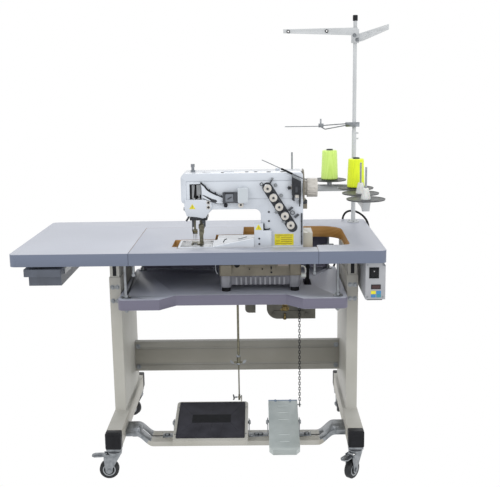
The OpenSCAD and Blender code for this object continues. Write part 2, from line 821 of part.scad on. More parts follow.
module arm_outline() {
    difference() {
        union() {
            translate([arm_x0 + cap_w, arm_z]) square([arm_len - cap_w, arm_h]);
            translate([column_x, table_h]) square([arm_x1 - column_x, arm_clear]);
            translate([column_x - arch_r, arm_z - arch_r]) square(arch_r);
            polygon([[arm_x0 + cap_w, arm_z + cap_rise - 0.2], [arm_x0 + 9, arm_z + cap_rise - 0.2],
                [arm_x0 + 10, arm_z - 4], [arm_x0 + 16, head_z + 14],
                [arm_x0 + 70, head_z], [arm_x0 + 100, arm_z]]);
        }
        translate([column_x - arch_r, arm_z - arch_r]) circle(arch_r);
    }
}

// The casting is a shell. The bars run in a block in its head, and the main shaft runs in a web
// across the arm and in a boss behind its right wall.
module arm_casting() {
    w = casting_wall;
    color("white") difference() {
        union() {
            difference() {
                along_y(arm_y) arm_outline();
                span([arm_x0 + cap_w + w, arm_y[0] + w, arm_z + w], [arm_x1 - w, arm_y[1] - w, arm_top + 1]);
                span([column_x + w, arm_y[0] + w, table_h + w], [arm_x1 - w, arm_y[1] - w, arm_z + w + 1]);
            }
            span([needle_x - 11, needle_y - 11, arm_z], [presser_x + 11, needle_y + 11, arm_top - 6]);
            span([web_x, arm_y[0] + w - 1, arm_z + w - 1], [web_x + 12, arm_y[1] - w + 1, arm_top - 4]);
            rod_x([arm_x1 - 30, arm_x1 - w + 1], needle_y, shaft_z, shaft_r + 7);
        }
        // Take-up window.
        span([arm_x0 + 28, arm_y[0] - 1, arm_z + 24], [arm_x0 + 66, arm_y[0] + 14, arm_top - 8]);
        rod_z(needle_x, needle_y, [head_z - 20, arm_top - 6], needle_bar_r + run_fit);
        rod_z(presser_x, needle_y, [head_z - 20, arm_top - 6], presser_bar_r + run_fit);
        rod_x([web_x - 1, arm_x1 + 1], needle_y, shaft_z, shaft_r + run_fit);
    }
}

module arm_covers() {
    color("white") {
        difference() {
            union() {
                difference() {
                    along_y(arm_y) difference() {
                        union() {
                            translate([arm_x0, arm_z + cap_rise]) square([cap_w, arm_h + cover_h - cap_rise]);
                            translate([arm_x0 + cap_w, arm_top]) square([arm_len - cap_w, cover_h]);
                        }
                        corner_cut([arm_x0, arm_top + cover_h], [-1, 1], 16);
                        corner_cut([arm_x0, arm_z + cap_rise], [-1, -1], 12);
                        corner_cut([arm_x1, arm_top + cover_h], [1, 1], 10);
                    }
                    // The top cover is hollow below.
                    span([arm_x0 + cap_w, arm_y[0] + 6, arm_top - 1],
                        [arm_x1 - 10, arm_y[1] - 6, arm_top + cover_h - 6]);
                }
                rod_z(needle_x - 2, needle_y, [arm_top, arm_top + cover_h - 1], 9);
            }
            rod_z(needle_x - 2, needle_y, [arm_top + 2, arm_top + cover_h + 1], 3 + run_fit);
        }
        // Face plate of the head.
        along_y([arm_y[0] - 7, arm_y[0]]) polygon([[arm_x0 + 12, arm_z + 34], [arm_x0 + 98, arm_z + 32],
            [arm_x0 + 99, arm_z + 10], [arm_x0 + 78, head_z + 4], [arm_x0 + 17, head_z + 10],
            [arm_x0 + 10, arm_z + 6]]);
        // Small cover beside the thread guides.
        round_cover([mach_x + 200, arm_y[0] - 26, arm_z + 24], [mach_x + 233, arm_y[0], arm_z + 72]);
        rod_y(mach_x + 209, [arm_y[0] - 14, arm_y[0]], arm_z + 16, 9);
    }
}

module round_cover(low, high) {
    along_y([low[1], high[1]]) translate([low[0], low[2]])
        round_rect(high[0] - low[0], high[2] - low[2], 5);
}

function tension_at(i) = [tension_0[0] + tension_step[0] * i, tension_0[1] + tension_step[1] * i];

// Blackened steel parts on the arm's front: the tension plate and its posts, the take-up
// bracket, the thread lubricator, the upright bracket and the long thread rod.
module thread_guides() {
    face = arm_y[0];
    mid = tension_at((tension_n - 1) / 2);
    slope = atan2(tension_step[1], tension_step[0]);
    color("dimgray") {
        along_y([face - 3, face]) translate([mid[0] + 3, mid[1] - 5]) rotate([0, 0, slope])
            stadium(norm(tension_step) * (tension_n - 1) + 48, 32);
        for (i = [0:tension_n - 1]) {
            rod_y(tension_at(i)[0], [face - 35, face - 3], tension_at(i)[1], post_r);
            rod_y(tension_at(i)[0], [face - 12, face - 6], tension_at(i)[1], 13);
        }
        // Upright bracket with its two feet.
        span([arm_x1 - 37, face - 17, arm_z + 44], [arm_x1 - 7, face - 14, arm_top + 16]);
        for (x = [arm_x1 - 35, arm_x1 - 15])
            span([x, face - 14, arm_z + 12], [x + 6, face, arm_z + 66]);
        // Lubricator box and the bar behind it.
        span([mach_x + 152, face - 20, arm_z + 22], [mach_x + 200, face, arm_z + 58]);
        rod_y(mach_x + 156, [face - 12, face], arm_z + 14, 5);
        // Take-up guide bracket.
        along_y([face - 10, face - 8]) polygon([[arm_x0 + 64, arm_z + 88], [arm_x0 + 72, arm_z + 80],
            [arm_x0 + 140, arm_z + 32], [arm_x0 + 138, arm_z + 20], [arm_x0 + 118, arm_z + 22],
            [arm_x0 + 70, arm_z + 40], [arm_x0 + 70, arm_z + 48], [arm_x0 + 108, arm_z + 40],
            [arm_x0 + 60, arm_z + 84]]);
        rod_y(arm_x0 + 124, [face - 8, face], arm_z + 28, 4);
    }
    color("silver") {
        tip = [arm_x1 - 132, face + 10, arm_top + 67];
        heel = [arm_x1 - 14, face - 12, arm_top + 14];
        rod_between(tip, heel, 1.4);
        rod_between(tip + 0.42 * (heel - tip), tip + 0.95 * (heel - tip), 3);
    }
}

module tension_knob(i) {
    face = arm_y[0];
    p = tension_at(i);
    color("ivory") difference() {
        union() {
            rod_y(p[0], [face - 31, face - 21], p[1], knob_r);
            rod_y(p[0], [face - 21, face - 13], p[1], 8);
        }
        rod_y(p[0], [face - 36, face - 12], p[1], post_r + run_fit);
    }
}

module needle_bar() {
    clamp = [table_h + 34, table_h + 49];
    color("silver") {
        rod_z(needle_x, needle_y, [clamp[1], bar_top], needle_bar_r);
        span([needle_x - 8, needle_y - 5, clamp[0]], [needle_x + 8, needle_y + 5, clamp[1]]);
        for (x = [-5, 0, 5]) rod_z(needle_x + x, needle_y, [table_h + 9, clamp[0]], 0.7);
    }
}

module presser_bar() {
    sole = table_h + 0.4;
    color("silver") {
        difference() {
            span([needle_x - 12, needle_y - 18, sole], [presser_x + 6, needle_y + 22, sole + 3]);
            translate([needle_x, needle_y, sole - 1]) linear_extrude(5) stadium(16, 6);
            span([needle_x - 3, needle_y - 19, sole - 1], [needle_x + 3, needle_y - 9, sole + 4]);
        }
        span([presser_x - 7, needle_y - 5, sole + 3], [presser_x + 5, needle_y + 5, table_h + 52]);
        rod_z(presser_x, needle_y, [table_h + 52, bar_top], presser_bar_r);
        span([presser_x - 8, needle_y - 7, table_h + 52], [presser_x + 8, needle_y + 7, table_h + 66]);
    }
}

module pressure_screw() {
    z = arm_top + cover_h;
    color("silver") {
        rod_z(needle_x - 2, needle_y, [arm_top + 8, z + 14], 3);
        rod_z(needle_x - 2, needle_y, [z + 0.4, z + 6], 8);
        rod_z(needle_x - 2, needle_y, [z + 6, z + 16], 5);
        rod_z(needle_x - 2, needle_y, [z + 16, z + 26], 6.5);
    }
}

module handwheel() {
    x = [wheel_x, wheel_x + wheel_len];
    color("ivory") {
        difference() {
            rod_x(x, needle_y, shaft_z, handwheel_r);
            rod_x([x[1] - 6, x[1] + 1], needle_y, shaft_z, handwheel_r - 6);
            for (i = [0:11]) translate([0, needle_y, shaft_z]) rotate([30 * i, 0, 0])
                rod_x([x[0] + 4, x[1] - 8], handwheel_r + 2, 0, 4);
        }
        rod_x([arm_x1 + 0.6, x[0]], needle_y, shaft_z, handwheel_r - 6);
        // Main shaft, its crank, and the eccentric that drives the lower shaft.
        rod_x([web_x - 16, arm_x1 + 0.6], needle_y, shaft_z, shaft_r);
        rod_x([web_x - 16, web_x - 6], needle_y, shaft_z, crank_r);
        translate([0, 0, shaft_z]) rod_x([column_x + 60, column_x + 78], needle_y + 4, 0, crank_r - 2);
    }
}

looper_x = [mach_x + 251, mach_x + 307];
looper_pin = [looper_x[1] - 2, bed_y[0] + 4];

module looper_cover() {
    color("white") {
        rod_z(looper_pin[0], looper_pin[1], [table_h + 0.5, table_h + 54], 2.5);
        round_span([looper_x[0], bed_y[0] + 2, table_h + 0.5], [looper_x[1], arm_y[0] - 0.6, table_h + 54], 2);
        span([looper_x[0], bed_y[0] + 2, table_h + 54], [looper_x[0] + 29, arm_y[0] - 0.6, table_h + 78]);
    }
}

// ---- Control box and drawer -----------------------------------------------------------------

module control_box() {
    color("white") difference() {
        along_y(box_y) difference() {
            translate([box_x[0], box_z[0]]) square([box_x[1] - box_x[0], box_z[1] - box_z[0]]);
            translate([box_x[1], box_z[1]]) rotate(45) square([24, 14], center = true);
        }
        span([rocker_x - 13.2, box_y[0] - 1, rocker_z - 15.2], [rocker_x + 13.2, box_y[0] + 16, rocker_z + 15.2]);
    }
    color("black") {
        span([box_x[0] + 6, box_y[0] + 10, box_z[0] - 5], [box_x[1] - 8, box_y[1] - 10, box_z[0]]);
        // Hanging bracket up to the table's underside.
        span([box_x[0] + 8, box_y[0] + 40, box_z[1]], [box_x[1] - 22, box_y[1] - 40, table_z]);
        // Cable gland on the box's back.
        rod_y(1175, [box_y[1], box_y[1] + 1], 655, 9);
    }
    color("silver") rod_x([rocker_x - 14, rocker_x + 14], box_y[0] + 9, rocker_z, 1.5);
}

module power_switch() {
    color("black") difference() {
        along_x([rocker_x - 12, rocker_x + 12]) translate([box_y[0] + 9, rocker_z])
            polygon([[-11, 0], [-8, 13], [3, 13], [5, 0], [3, -13], [-12, -13]]);
        rod_x([rocker_x - 13, rocker_x + 13], box_y[0] + 9, rocker_z, 1.5 + run_fit);
    }
}

module drawer() {
    color("lightslategray") difference() {
        union() {
            span([drawer_x[0] + 7, drawer_y[0] + 34, drawer_low],
                [drawer_x[1] - 7, drawer_y[1] - 5, drawer_rim[0]]);
            round_span([drawer_x[0], drawer_y[0], drawer_rim[0]], [drawer_x[1], drawer_y[1], drawer_rim[1]], 4);
        }
        span([drawer_x[0] + 10, drawer_y[0] + 37, drawer_low + 3],
            [drawer_x[1] - 10, drawer_y[1] - 8, drawer_rim[1] + 1]);
    }
}

module drawer_rails() {
    gap = 0.4;
    color("silver") {
        for (side = [0, 1]) {
            wall = side == 0 ? drawer_x[0] - gap - 2 : drawer_x[1] + gap;
            shelf = side == 0 ? [wall, drawer_x[0] + drawer_rail] : [drawer_x[1] - drawer_rail, wall + 2];
            span([wall, 60, drawer_rim[0] - gap - 2], [wall + 2, drawer_y[1] + 20, table_z]);
            span([shelf[0], 60, drawer_rim[0] - gap - 2], [shelf[1], drawer_y[1] + 20, drawer_rim[0] - gap]);
        }
        span([drawer_x[0] - gap - 2, drawer_y[1] + 18, drawer_rim[0] - gap], [drawer_x[1] + gap + 2, drawer_y[1] + 20, table_z]);
    }
}

// ---- Thread stand -----------------------------------------------------------------------------

module thread_pole() {
    joint_z = table_h + pole_joint;
    top = table_h + stand_pole_h;
    color("whitesmoke") {
        rod_z(pole_x, pole_y, [table_h, table_h + 5], 22);
        rod_z(pole_x, pole_y, [table_h + 5, joint_z], pole_r[0]);
        rod_z(pole_x, pole_y, [joint_z, top - 18], pole_r[1]);
        rod_z(pole_x, pole_y, [table_z - 12, table_z], 16);
    }
    color("black") rod_z(pole_x, pole_y, [top - 18, top], pole_r[1] + 1.5);
    color("silver") for (z = [joint_z - 26, joint_z - 6]) rod_x([pole_x + pole_r[0] - 1, pole_x + pole_r[0] + 8], pole_y, z, 3);
}

module spindle(x, y, up = 0) {
    z = disc_z + up;
    rod_z(x, y, [z + disc_t, z + spindle_h], spindle_r);
    translate([x, y, z + disc_t]) cylinder(h = holder_h, r1 = 15, r2 = 8);
    rod_z(x, y, [disc_z - 5, z], 9);
}

// Two bars clamped to the pole, and the spindles and spool holders that stand on them.
module spool_rack() {
    bar_w = 24;
    bar_z = [disc_z - 28, disc_z - 5];
    tip_y = front_discs[2] - 28;
    color("whitesmoke") {
        difference() {
            union() {
                span([left_discs[1] - 20, pole_y - bar_w / 2, bar_z[0]], [pole_x + 14, pole_y + bar_w / 2, bar_z[1]]);
                along_x([front_disc_x - bar_w / 2, front_disc_x + bar_w / 2])
                    polygon([[tip_y, bar_z[1]], [tip_y + 26, bar_z[0] - 10], [tip_y + 50, bar_z[0]],
                        [pole_y - bar_w / 2, bar_z[0]], [pole_y - bar_w / 2, bar_z[1]]]);
            }
            // Channels are open below.
            span([left_discs[1] - 18, pole_y - bar_w / 2 + 2, bar_z[0] - 1],
                [pole_x - 20, pole_y + bar_w / 2 - 2, bar_z[1] - 2]);
            span([front_disc_x - bar_w / 2 + 2, tip_y + 50, bar_z[0] - 1],
                [front_disc_x + bar_w / 2 - 2, pole_y - bar_w / 2 - 6, bar_z[1] - 2]);
            rod_z(pole_x, pole_y, [bar_z[0] - 20, bar_z[1] + 1], pole_r[0]);
        }
        for (x = left_discs) spindle(x, pole_y, left_rise);
        for (y = front_discs) spindle(front_disc_x, y);
    }
}

module spool_disc(x, y, up = 0) {
    z = disc_z + up;
    difference() {
        rod_z(x, y, [z, z + disc_t], disc_r);
        rod_z(x, y, [z - 1, z + disc_t + 1], spindle_r);
    }
}

module spool_discs() {
    color("dimgray") {
        for (x = left_discs) spool_disc(x, pole_y, left_rise);
        for (y = front_discs) spool_disc(front_disc_x, y);
    }
}

module cone(x, y, h, up = 0) {
    z = disc_z + up + disc_t + 0.3;
    top_r = cone_r * 0.87;
    color("greenyellow") translate([x, y, z]) rotate_extrude()
        polygon([[18, 0], [cone_r, 0], [top_r, h - 3], [top_r - 4, h], [11, h], [11, 46]]);
}

// Flat thread arms at the top, and the lower rod guide, clamped to the pole.
module guide_arms() {
    z = arm_bar_z;
    color("whitesmoke") {
        difference() {
            along_y([pole_y - 12, pole_y - 9]) polygon([[pole_x - 260, z + 3], [pole_x - 260, z + 17],
                [pole_x + 8, z + 20], [pole_x + 8, z - 8], [pole_x - 40, z - 6]]);
            for (x = arm_holes) rod_y(x, [pole_y - 13, pole_y - 8], z + 9, 3.5);
        }
        span([pole_x - 260, pole_y - 9.5, z + 15], [pole_x - pole_r[1], pole_y + 2, z + 17]);
        translate([pole_x + 10, pole_y, 0]) rotate([0, 0, 6]) difference() {
            along_x([0, 3]) polygon([[-422, z - 10], [-422, z + 6], [-8, z - 2], [-8, z - 30], [-60, z - 30]]);
            for (y = front_discs) rod_x([-1, 4], y - pole_y, z - 7, 3.5);
        }
        difference() {
            span([pole_x - 13, pole_y - 13, z - 34], [pole_x + 13, pole_y + 13, z + 14]);
            rod_z(pole_x, pole_y, [z - 40, z + 20], pole_r[1]);
            span([pole_x - 14, pole_y - 14, z - 40], [pole_x + 14, pole_y - 12, z + 20]);
        }
        // Rod guide: clamp, bent wire, block with a set pin, thin rod.
        g = rod_guide_z;
        difference() {
            span([pole_x - 32, pole_y - 15, g - 8], [pole_x + 18, pole_y + 10, g + 8]);
            rod_z(pole_x, pole_y, [g - 10, g + 10], pole_r[1]);
        }
    }
    color("silver") {
        g = rod_guide_z;
        y = pole_y - 8;
        rod_between([pole_x - 32, y, g + 3], [rod_block_x + 8, y, g - 2], 2);
        rod_between([pole_x - 32, y, g - 3], [rod_block_x + 14, y, g - 16], 2);
        rod_between([rod_block_x + 14, y, g - 16], [rod_block_x, y, g - 8], 2);
        span([rod_block_x - 10, y - 7, g - 9], [rod_block_x + 8, y + 7, g + 5]);
        rod_z(rod_block_x - 2, y, [g + 5, g + 22], 3);
        rod_x([rod_block_x - 134, rod_block_x - 10], y, g - 5, 1.6);
    }
}

// ---- Motor cable --------------------------------------------------------------------------------

function unit(v) = v / norm(v);
function spline(a, b, c, d, t) = 0.5 * (2 * b + (c - a) * t + (2 * a - 5 * b + 4 * c - d) * t * t
    + (3 * b - a - 3 * c + d) * t * t * t);
function smooth(p, steps) = concat([for (i = [0:len(p) - 2], s = [0:steps - 1])
    spline(p[max(i - 1, 0)], p[i], p[i + 1], p[min(i + 2, len(p) - 1)], s / steps)], [p[len(p) - 1]]);
function tangent(p, i) = unit(p[min(i + 1, len(p) - 1)] - p[max(i - 1, 0)]);
function carry(n, t) = unit(n - (n * t) * t);
function normals(p, i, n) = i == len(p) ? []
    : let (m = carry(n, tangent(p, i))) concat([m], normals(p, i + 1, m));

module sweep(p, r, sides) {
    n = normals(p, 0, [0, 0, 1]);
    rings = [for (i = [0:len(p) - 1], k = [0:sides - 1])
        p[i] + r * (cos(360 * k / sides) * n[i] + sin(360 * k / sides) * cross(tangent(p, i), n[i]))];
    walls = [for (i = [0:len(p) - 2], k = [0:sides - 1]) let (m = (k + 1) % sides)
        [i * sides + k, (i + 1) * sides + k, (i + 1) * sides + m, i * sides + m]];
    last = (len(p) - 1) * sides;
    polyhedron(rings, concat(walls, [[for (k = [0:sides - 1]) k]], [[for (k = [sides - 1:-1:0]) last + k]]));
}

module motor_cable() {
    color("black") sweep(smooth(cable_points, cable_steps), cable_r, 10);
}

// ---- Nodes ----------------------------------------------------------------------------------------

placed() table_top();
placed() table_insert();
placed() sunk_shelf();
placed() shelf_hardware();
placed() stand_sides();
placed() foot_caps();
placed() stand_crossbar();
placed() pedal_bar();
placed() caster_plates();
placed() speed_control();
placed() motor();
placed() control_box();
placed() drawer_rails();
placed() machine_base();
placed() oil_pan();
placed() machine_feet();
placed() machine_bed();
placed() arm_casting();
placed() arm_covers();
placed() needle_plate();
placed() thread_guides();
placed() thread_pole();
placed() spool_rack();
placed() spool_discs();
placed() guide_arms();
placed() motor_cable();
placed() drive_belt();
placed() caster_fork(0);  // caster_fork_1
placed() caster_fork(1);  // caster_fork_2
placed() caster_fork(2);  // caster_fork_3
placed() caster_fork(3);  // caster_fork_4
placed() caster_wheel(0);  // caster_wheel_1
placed() caster_wheel(1);  // caster_wheel_2
placed() caster_wheel(2);  // caster_wheel_3
placed() caster_wheel(3);  // caster_wheel_4
placed() brake_lever(0);  // brake_lever_1
placed() brake_lever(1);  // brake_lever_2
placed() treadle_frame();
placed() treadle_mat();
placed() pitman_rod();
placed() speed_lever();
placed() lift_pedal();
placed() lift_chain();
placed() lift_lever();
placed() handwheel();
placed() lower_pulley();
placed() motor_pulley();
placed() power_switch();
placed() drawer();
placed() needle_bar();
placed() presser_bar();
placed() tension_knob(0);  // tension_knob_1
placed() tension_knob(1);  // tension_knob_2
placed() tension_knob(2);  // tension_knob_3
placed() tension_knob(3);  // tension_knob_4
placed() tension_knob(4);  // tension_knob_5
placed() pressure_screw();
placed() looper_cover();
placed() cone(left_discs[0], pole_y, cone_h, left_rise);  // cone_left
placed() cone(front_disc_x, front_discs[0], cone_h - 6);  // cone_right
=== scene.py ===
"""Finished look of a flat-bed cover-stitch machine on its table, built around the packed CAD frame.

Detail sizes are millimetres from CORNER, from MACHINE or from a CAD node's own corner.
"""

import json
import math

import bmesh
import bpy
from bpy.props import FloatProperty, FloatVectorProperty, IntProperty, PointerProperty, StringProperty
from mathutils import Matrix, Vector


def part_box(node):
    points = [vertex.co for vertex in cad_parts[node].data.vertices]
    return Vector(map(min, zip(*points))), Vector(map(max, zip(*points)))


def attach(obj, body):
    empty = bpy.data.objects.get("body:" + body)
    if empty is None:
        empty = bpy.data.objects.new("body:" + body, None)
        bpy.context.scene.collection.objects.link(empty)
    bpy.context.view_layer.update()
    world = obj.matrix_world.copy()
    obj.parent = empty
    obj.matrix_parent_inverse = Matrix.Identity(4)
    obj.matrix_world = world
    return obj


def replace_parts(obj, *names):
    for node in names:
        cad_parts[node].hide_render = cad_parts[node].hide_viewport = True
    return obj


bl_info = {
    "name": "Cover-stitch machine and table",
    "version": (1, 0, 0),
    "blender": (4, 5, 0),
    "location": "View3D > Sidebar > Sewing",
    "description": "Dresses the CAD frame of an industrial cover-stitch machine, its table and thread stand",
    "category": "Object",
}

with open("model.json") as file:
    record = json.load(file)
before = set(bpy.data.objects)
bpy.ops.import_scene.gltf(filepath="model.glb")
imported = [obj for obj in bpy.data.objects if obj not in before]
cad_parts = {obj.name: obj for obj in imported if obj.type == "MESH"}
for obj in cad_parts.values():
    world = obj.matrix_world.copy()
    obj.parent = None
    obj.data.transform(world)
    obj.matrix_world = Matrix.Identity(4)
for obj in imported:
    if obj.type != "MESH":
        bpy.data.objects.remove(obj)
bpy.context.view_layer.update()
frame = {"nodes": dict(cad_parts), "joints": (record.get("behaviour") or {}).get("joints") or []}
NODES = frame["nodes"]
MM = 0.001
UP = Vector((0, 0, 1))
CASTERS = (1, 2, 3, 4)
TENSIONS = (1, 2, 3, 4, 5)


# ---- Places taken from the frame ---------------------------------------------------------


def spot(node, share, shift=(0, 0, 0)):
    """A point in a CAD node's box, as shares of its sides, moved by a number of millimetres."""
    low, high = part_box(node)
    return Vector([low[i] + (high[i] - low[i]) * share[i] + shift[i] * MM for i in range(3)])


def joint_at(name):
    """Where a joint turns."""
    return Vector(JOINTS[name]["pos_m"])


# Detail sizes below are millimetres from one of these corners.
JOINTS = {joint["name"]: joint for joint in frame["joints"]}
TABLE_LOW, TABLE_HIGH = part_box("table_top")
CORNER = Vector((TABLE_LOW.x, TABLE_LOW.y, 0.0))  # floor point under the table's front left corner
MACHINE = Vector(
    (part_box("machine_bed")[0].x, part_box("arm_casting")[0].y, TABLE_HIGH.z)
)  # bed's left, arm's front
POLE = spot("thread_pole", (0.5, 0.5, 0.0))
DISC_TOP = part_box("spool_discs")[1].z


# ---- Colours and materials ---------------------------------------------------------------


def linear(hexcode, alpha=1.0):
    """An sRGB hex colour as linear RGBA."""
    channels = [int(hexcode[i : i + 2], 16) / 255 for i in (0, 2, 4)]
    return (*[c / 12.92 if c <= 0.04045 else ((c + 0.055) / 1.055) ** 2.4 for c in channels], alpha)


def add_node(tree, kind, links=(), **settings):
    """Adds one shader node. Settings name properties or input sockets; links join a socket to an output."""
    made = tree.nodes.new("ShaderNode" + kind)
    sockets = {}
    for key, value in settings.items():
        name = key.replace("_", " ")
        if hasattr(made, key):
            setattr(made, key, value)
        else:
            sockets[name] = value
    for name, value in sockets.items():
        place = int(name[1:]) if name[0] == "n" and name[1:].isdigit() else name
        made.inputs[place].default_value = value
    for socket, source in dict(links).items():
        tree.links.new(source, made.inputs[socket])
    return made


def new_material(name, hexcode, roughness, metallic=0.0, **more):
    """A material with its Principled shader, and that shader's tree."""
    made = bpy.data.materials.get(name)
    if made:
        return made, None, None
    made = bpy.data.materials.new(name)
    made.use_nodes = True
    tree = made.node_tree
    shader = tree.nodes["Principled BSDF"]
    shader.inputs["Base Color"].default_value = linear(hexcode)
    shader.inputs["Roughness"].default_value = roughness
    shader.inputs["Metallic"].default_value = metallic
    for key, value in more.items():
        shader.inputs[key.replace("_", " ")].default_value = value
    made.diffuse_color = linear(hexcode)
    return made, tree, shader


def mottle(tree, shader, light, dark, patch, grit, bump, spread=0.06):
    """Colour that drifts over patches, roughness that follows it, and a bump of that grit, in metres."""
    where = add_node(tree, "TexCoord").outputs["Object"]
    drift = add_node(tree, "TexNoise", {"Vector": where}, Scale=1 / patch, Detail=4.0)
    ramp = add_node(tree, "ValToRGB", {"Fac": drift.outputs["Fac"]})
    ramp.color_ramp.elements[0].position = 0.32
    ramp.color_ramp.elements[1].position = 0.68
    ramp.color_ramp.elements[0].color = linear(dark)
    ramp.color_ramp.elements[1].color = linear(light)
    tree.links.new(ramp.outputs["Color"], shader.inputs["Base Color"])
    rough = shader.inputs["Roughness"].default_value
    gloss = add_node(tree, "MapRange", {"Value": drift.outputs["Fac"]}, n3=rough - spread, n4=rough + spread)
    tree.links.new(gloss.outputs["Result"], shader.inputs["Roughness"])
    grain = add_node(tree, "TexNoise", {"Vector": where}, Scale=1 / grit, Detail=2.0)
    relief = add_node(tree, "Bump", {"Height": grain.outputs["Fac"]}, Strength=bump, Distance=grit * 0.2)
    tree.links.new(relief.outputs["Normal"], shader.inputs["Normal"])
    return where, ramp, relief


def worn_edges(tree, shader, ramp, hexcode, amount):
    """Blends a wear colour in where the surface is sharply convex."""
    shape = add_node(tree, "NewGeometry")
    edge = add_node(
        tree, "MapRange", {"Value": shape.outputs["Pointiness"]}, n1=0.52, n2=0.6, n3=0.0, n4=amount
    )
    mix = add_node(tree, "Mix", data_type="RGBA")
    mix.inputs[7].default_value = linear(hexcode)
    tree.links.new(edge.outputs["Result"], mix.inputs[0])
    tree.links.new(ramp.outputs["Color"], mix.inputs[6])
    tree.links.new(mix.outputs[2], shader.inputs["Base Color"])


def finish(base, patches, wear=None, **more):
    """A material from new_material's values, mottled with those of patches and worn at its edges if asked."""
    made, tree, shader = new_material(*base, **more)
    if tree:
        _, ramp, _ = mottle(tree, shader, *patches)
        if wear:
            worn_edges(tree, shader, ramp, *wear)
    return made


def machine_enamel():
    """Stoved white enamel on cast aluminium: hard gloss with a faint orange peel."""
    return finish(
        ("white_stoved_enamel", "CDD3DA", 0.24),
        ("D0D6DE", "C5CBD4", 0.12, 0.0014, 0.08),
        ("B4BAC3", 0.5),
        Coat_Weight=0.35,
        Coat_Roughness=0.12,
    )


def cream_enamel():
    """Older cream enamel on the lower casting: a warmer and softer gloss, with oil haze in patches."""
    return finish(("cream_enamel", "746E60", 0.34), ("797364", "635D50", 0.06, 0.0016, 0.12))


def ivory_abs():
    """Moulded ivory ABS of the handwheel and knobs: a soft sheen and a fine mould grain."""
    return finish(("moulded_ivory_abs", "C6C3BD", 0.36), ("CBC8C2", "BDB9B2", 0.02, 0.0006, 0.1))


def powder_coat(name="warm_grey_powder_coat", light="B4B3AD", dark="A3A29A"):
    """Warm grey powder coat on the steel stand: even, slightly pebbled, rubbed at its corners."""
    return finish((name, light, 0.44), (light, dark, 0.22, 0.0012, 0.16), ("8A8474", 0.4))


def pale_tube_coat():
    """White powder coat on the thread stand: thinner tube, so a little glossier."""
    return finish(("pale_powder_coat", "BFC2C4", 0.38), ("C6C9CB", "BCBFC1", 0.08, 0.001, 0.08))


def silver_casting():
    """Silver paint on a sand casting: the sand's grit shows through the paint."""
    return finish(
        ("silver_painted_casting", "6C6D74", 0.46, 0.25),
        ("777880", "5E5F66", 0.03, 0.0012, 0.35),
        ("C5C7CC", 0.5),
    )


def hammer_paint():
    """Grey-green hammer finish on the lift pedal: shallow dimples that catch the light."""
    made, tree, shader = new_material("grey_green_hammer_paint", "B9C1C0", 0.34, 0.15)
    if tree:
        where, ramp, relief = mottle(tree, shader, "C0C7C6", "AFB7B6", 0.05, 0.0008, 0.1)
        dimple = add_node(tree, "TexVoronoi", {"Vector": where}, Scale=1 / 0.0035)
        dent = add_node(
            tree, "Bump", {"Height": dimple.outputs["Distance"], "Normal": relief.outputs["Normal"]},
            Strength=0.25, Distance=0.0004,
        )
        tree.links.new(dent.outputs["Normal"], shader.inputs["Normal"])
        worn_edges(tree, shader, ramp, "7F8785", 0.5)
    return made


def motor_paint():
    """Olive-grey machine paint on the drive unit, dulled by lint and oil."""
    return finish(("olive_grey_machine_paint", "4A4942", 0.5), ("555349", "3C3A33", 0.04, 0.0012, 0.25, 0.1))


def zinc_plate():
    """Bright zinc plating on stamped steel: grey metal with cloudy passivation."""
    return finish(("zinc_plated_steel", "8E9296", 0.32, 1.0), ("9A9EA2", "7C8084", 0.012, 0.0008, 0.12, 0.1))


def ground_steel():
    """Surface-ground tool steel: fine lines along X from the wheel."""
    made, tree, shader = new_material("ground_steel", "8F9194", 0.26, 1.0)
    if tree:
        where, _, relief = mottle(tree, shader, "9B9EA1", "808387", 0.02, 0.0008, 0.05)
        # Grinding lines are about 0.1 mm apart; drawn at 0.5 mm so that they show.
        stretch = add_node(tree, "Mapping", {"Vector": where}, Scale=(40.0, 2000.0, 2000.0))
        lines = add_node(tree, "TexNoise", {"Vector": stretch.outputs["Vector"]}, Scale=1.0, Detail=1.0)
        brush = add_node(
            tree, "Bump", {"Height": lines.outputs["Fac"], "Normal": relief.outputs["Normal"]},
            Strength=0.15, Distance=0.0001,
        )
        tree.links.new(brush.outputs["Normal"], shader.inputs["Normal"])
    return made


def polished_steel():
    """Polished and hardened steel of needles, rods and discs: a tight, bright reflection."""
    return finish(("polished_steel", "8F939A", 0.16, 1.0), ("9CA0A6", "7E8288", 0.01, 0.0006, 0.04))


def oiled_steel():
    """Tool steel of the needle clamp and presser foot, browned by oil and lint."""
    return finish(("oiled_tool_steel", "7A776A", 0.34, 0.9), ("85826F", "5E5B50", 0.008, 0.0006, 0.1))


def black_oxide():
    """Blackened steel: dark blue-grey oxide with bare metal showing at its edges."""
    return finish(
        ("black_oxide_steel", "24262A", 0.36, 0.4),
        ("2A2C31", "191A1D", 0.012, 0.0008, 0.1),
        ("70747A", 0.5),
        Specular_IOR_Level=0.3,
    )


def black_abs():
    """Moulded black ABS: satin, with a fine spark-eroded grain."""
    return finish(
        ("moulded_black_abs", "17181B", 0.42), ("1D1E22", "121316", 0.03, 0.0009, 0.3), Specular_IOR_Level=0.2
    )


def black_rubber():
    """Black rubber of the belt, feet and cable: dull, with a bloom of grey dust."""
    return finish(
        ("black_rubber", "18191B", 0.68),
        ("1E1F22", "111214", 0.015, 0.0007, 0.25, 0.1),
        Specular_IOR_Level=0.2,
    )


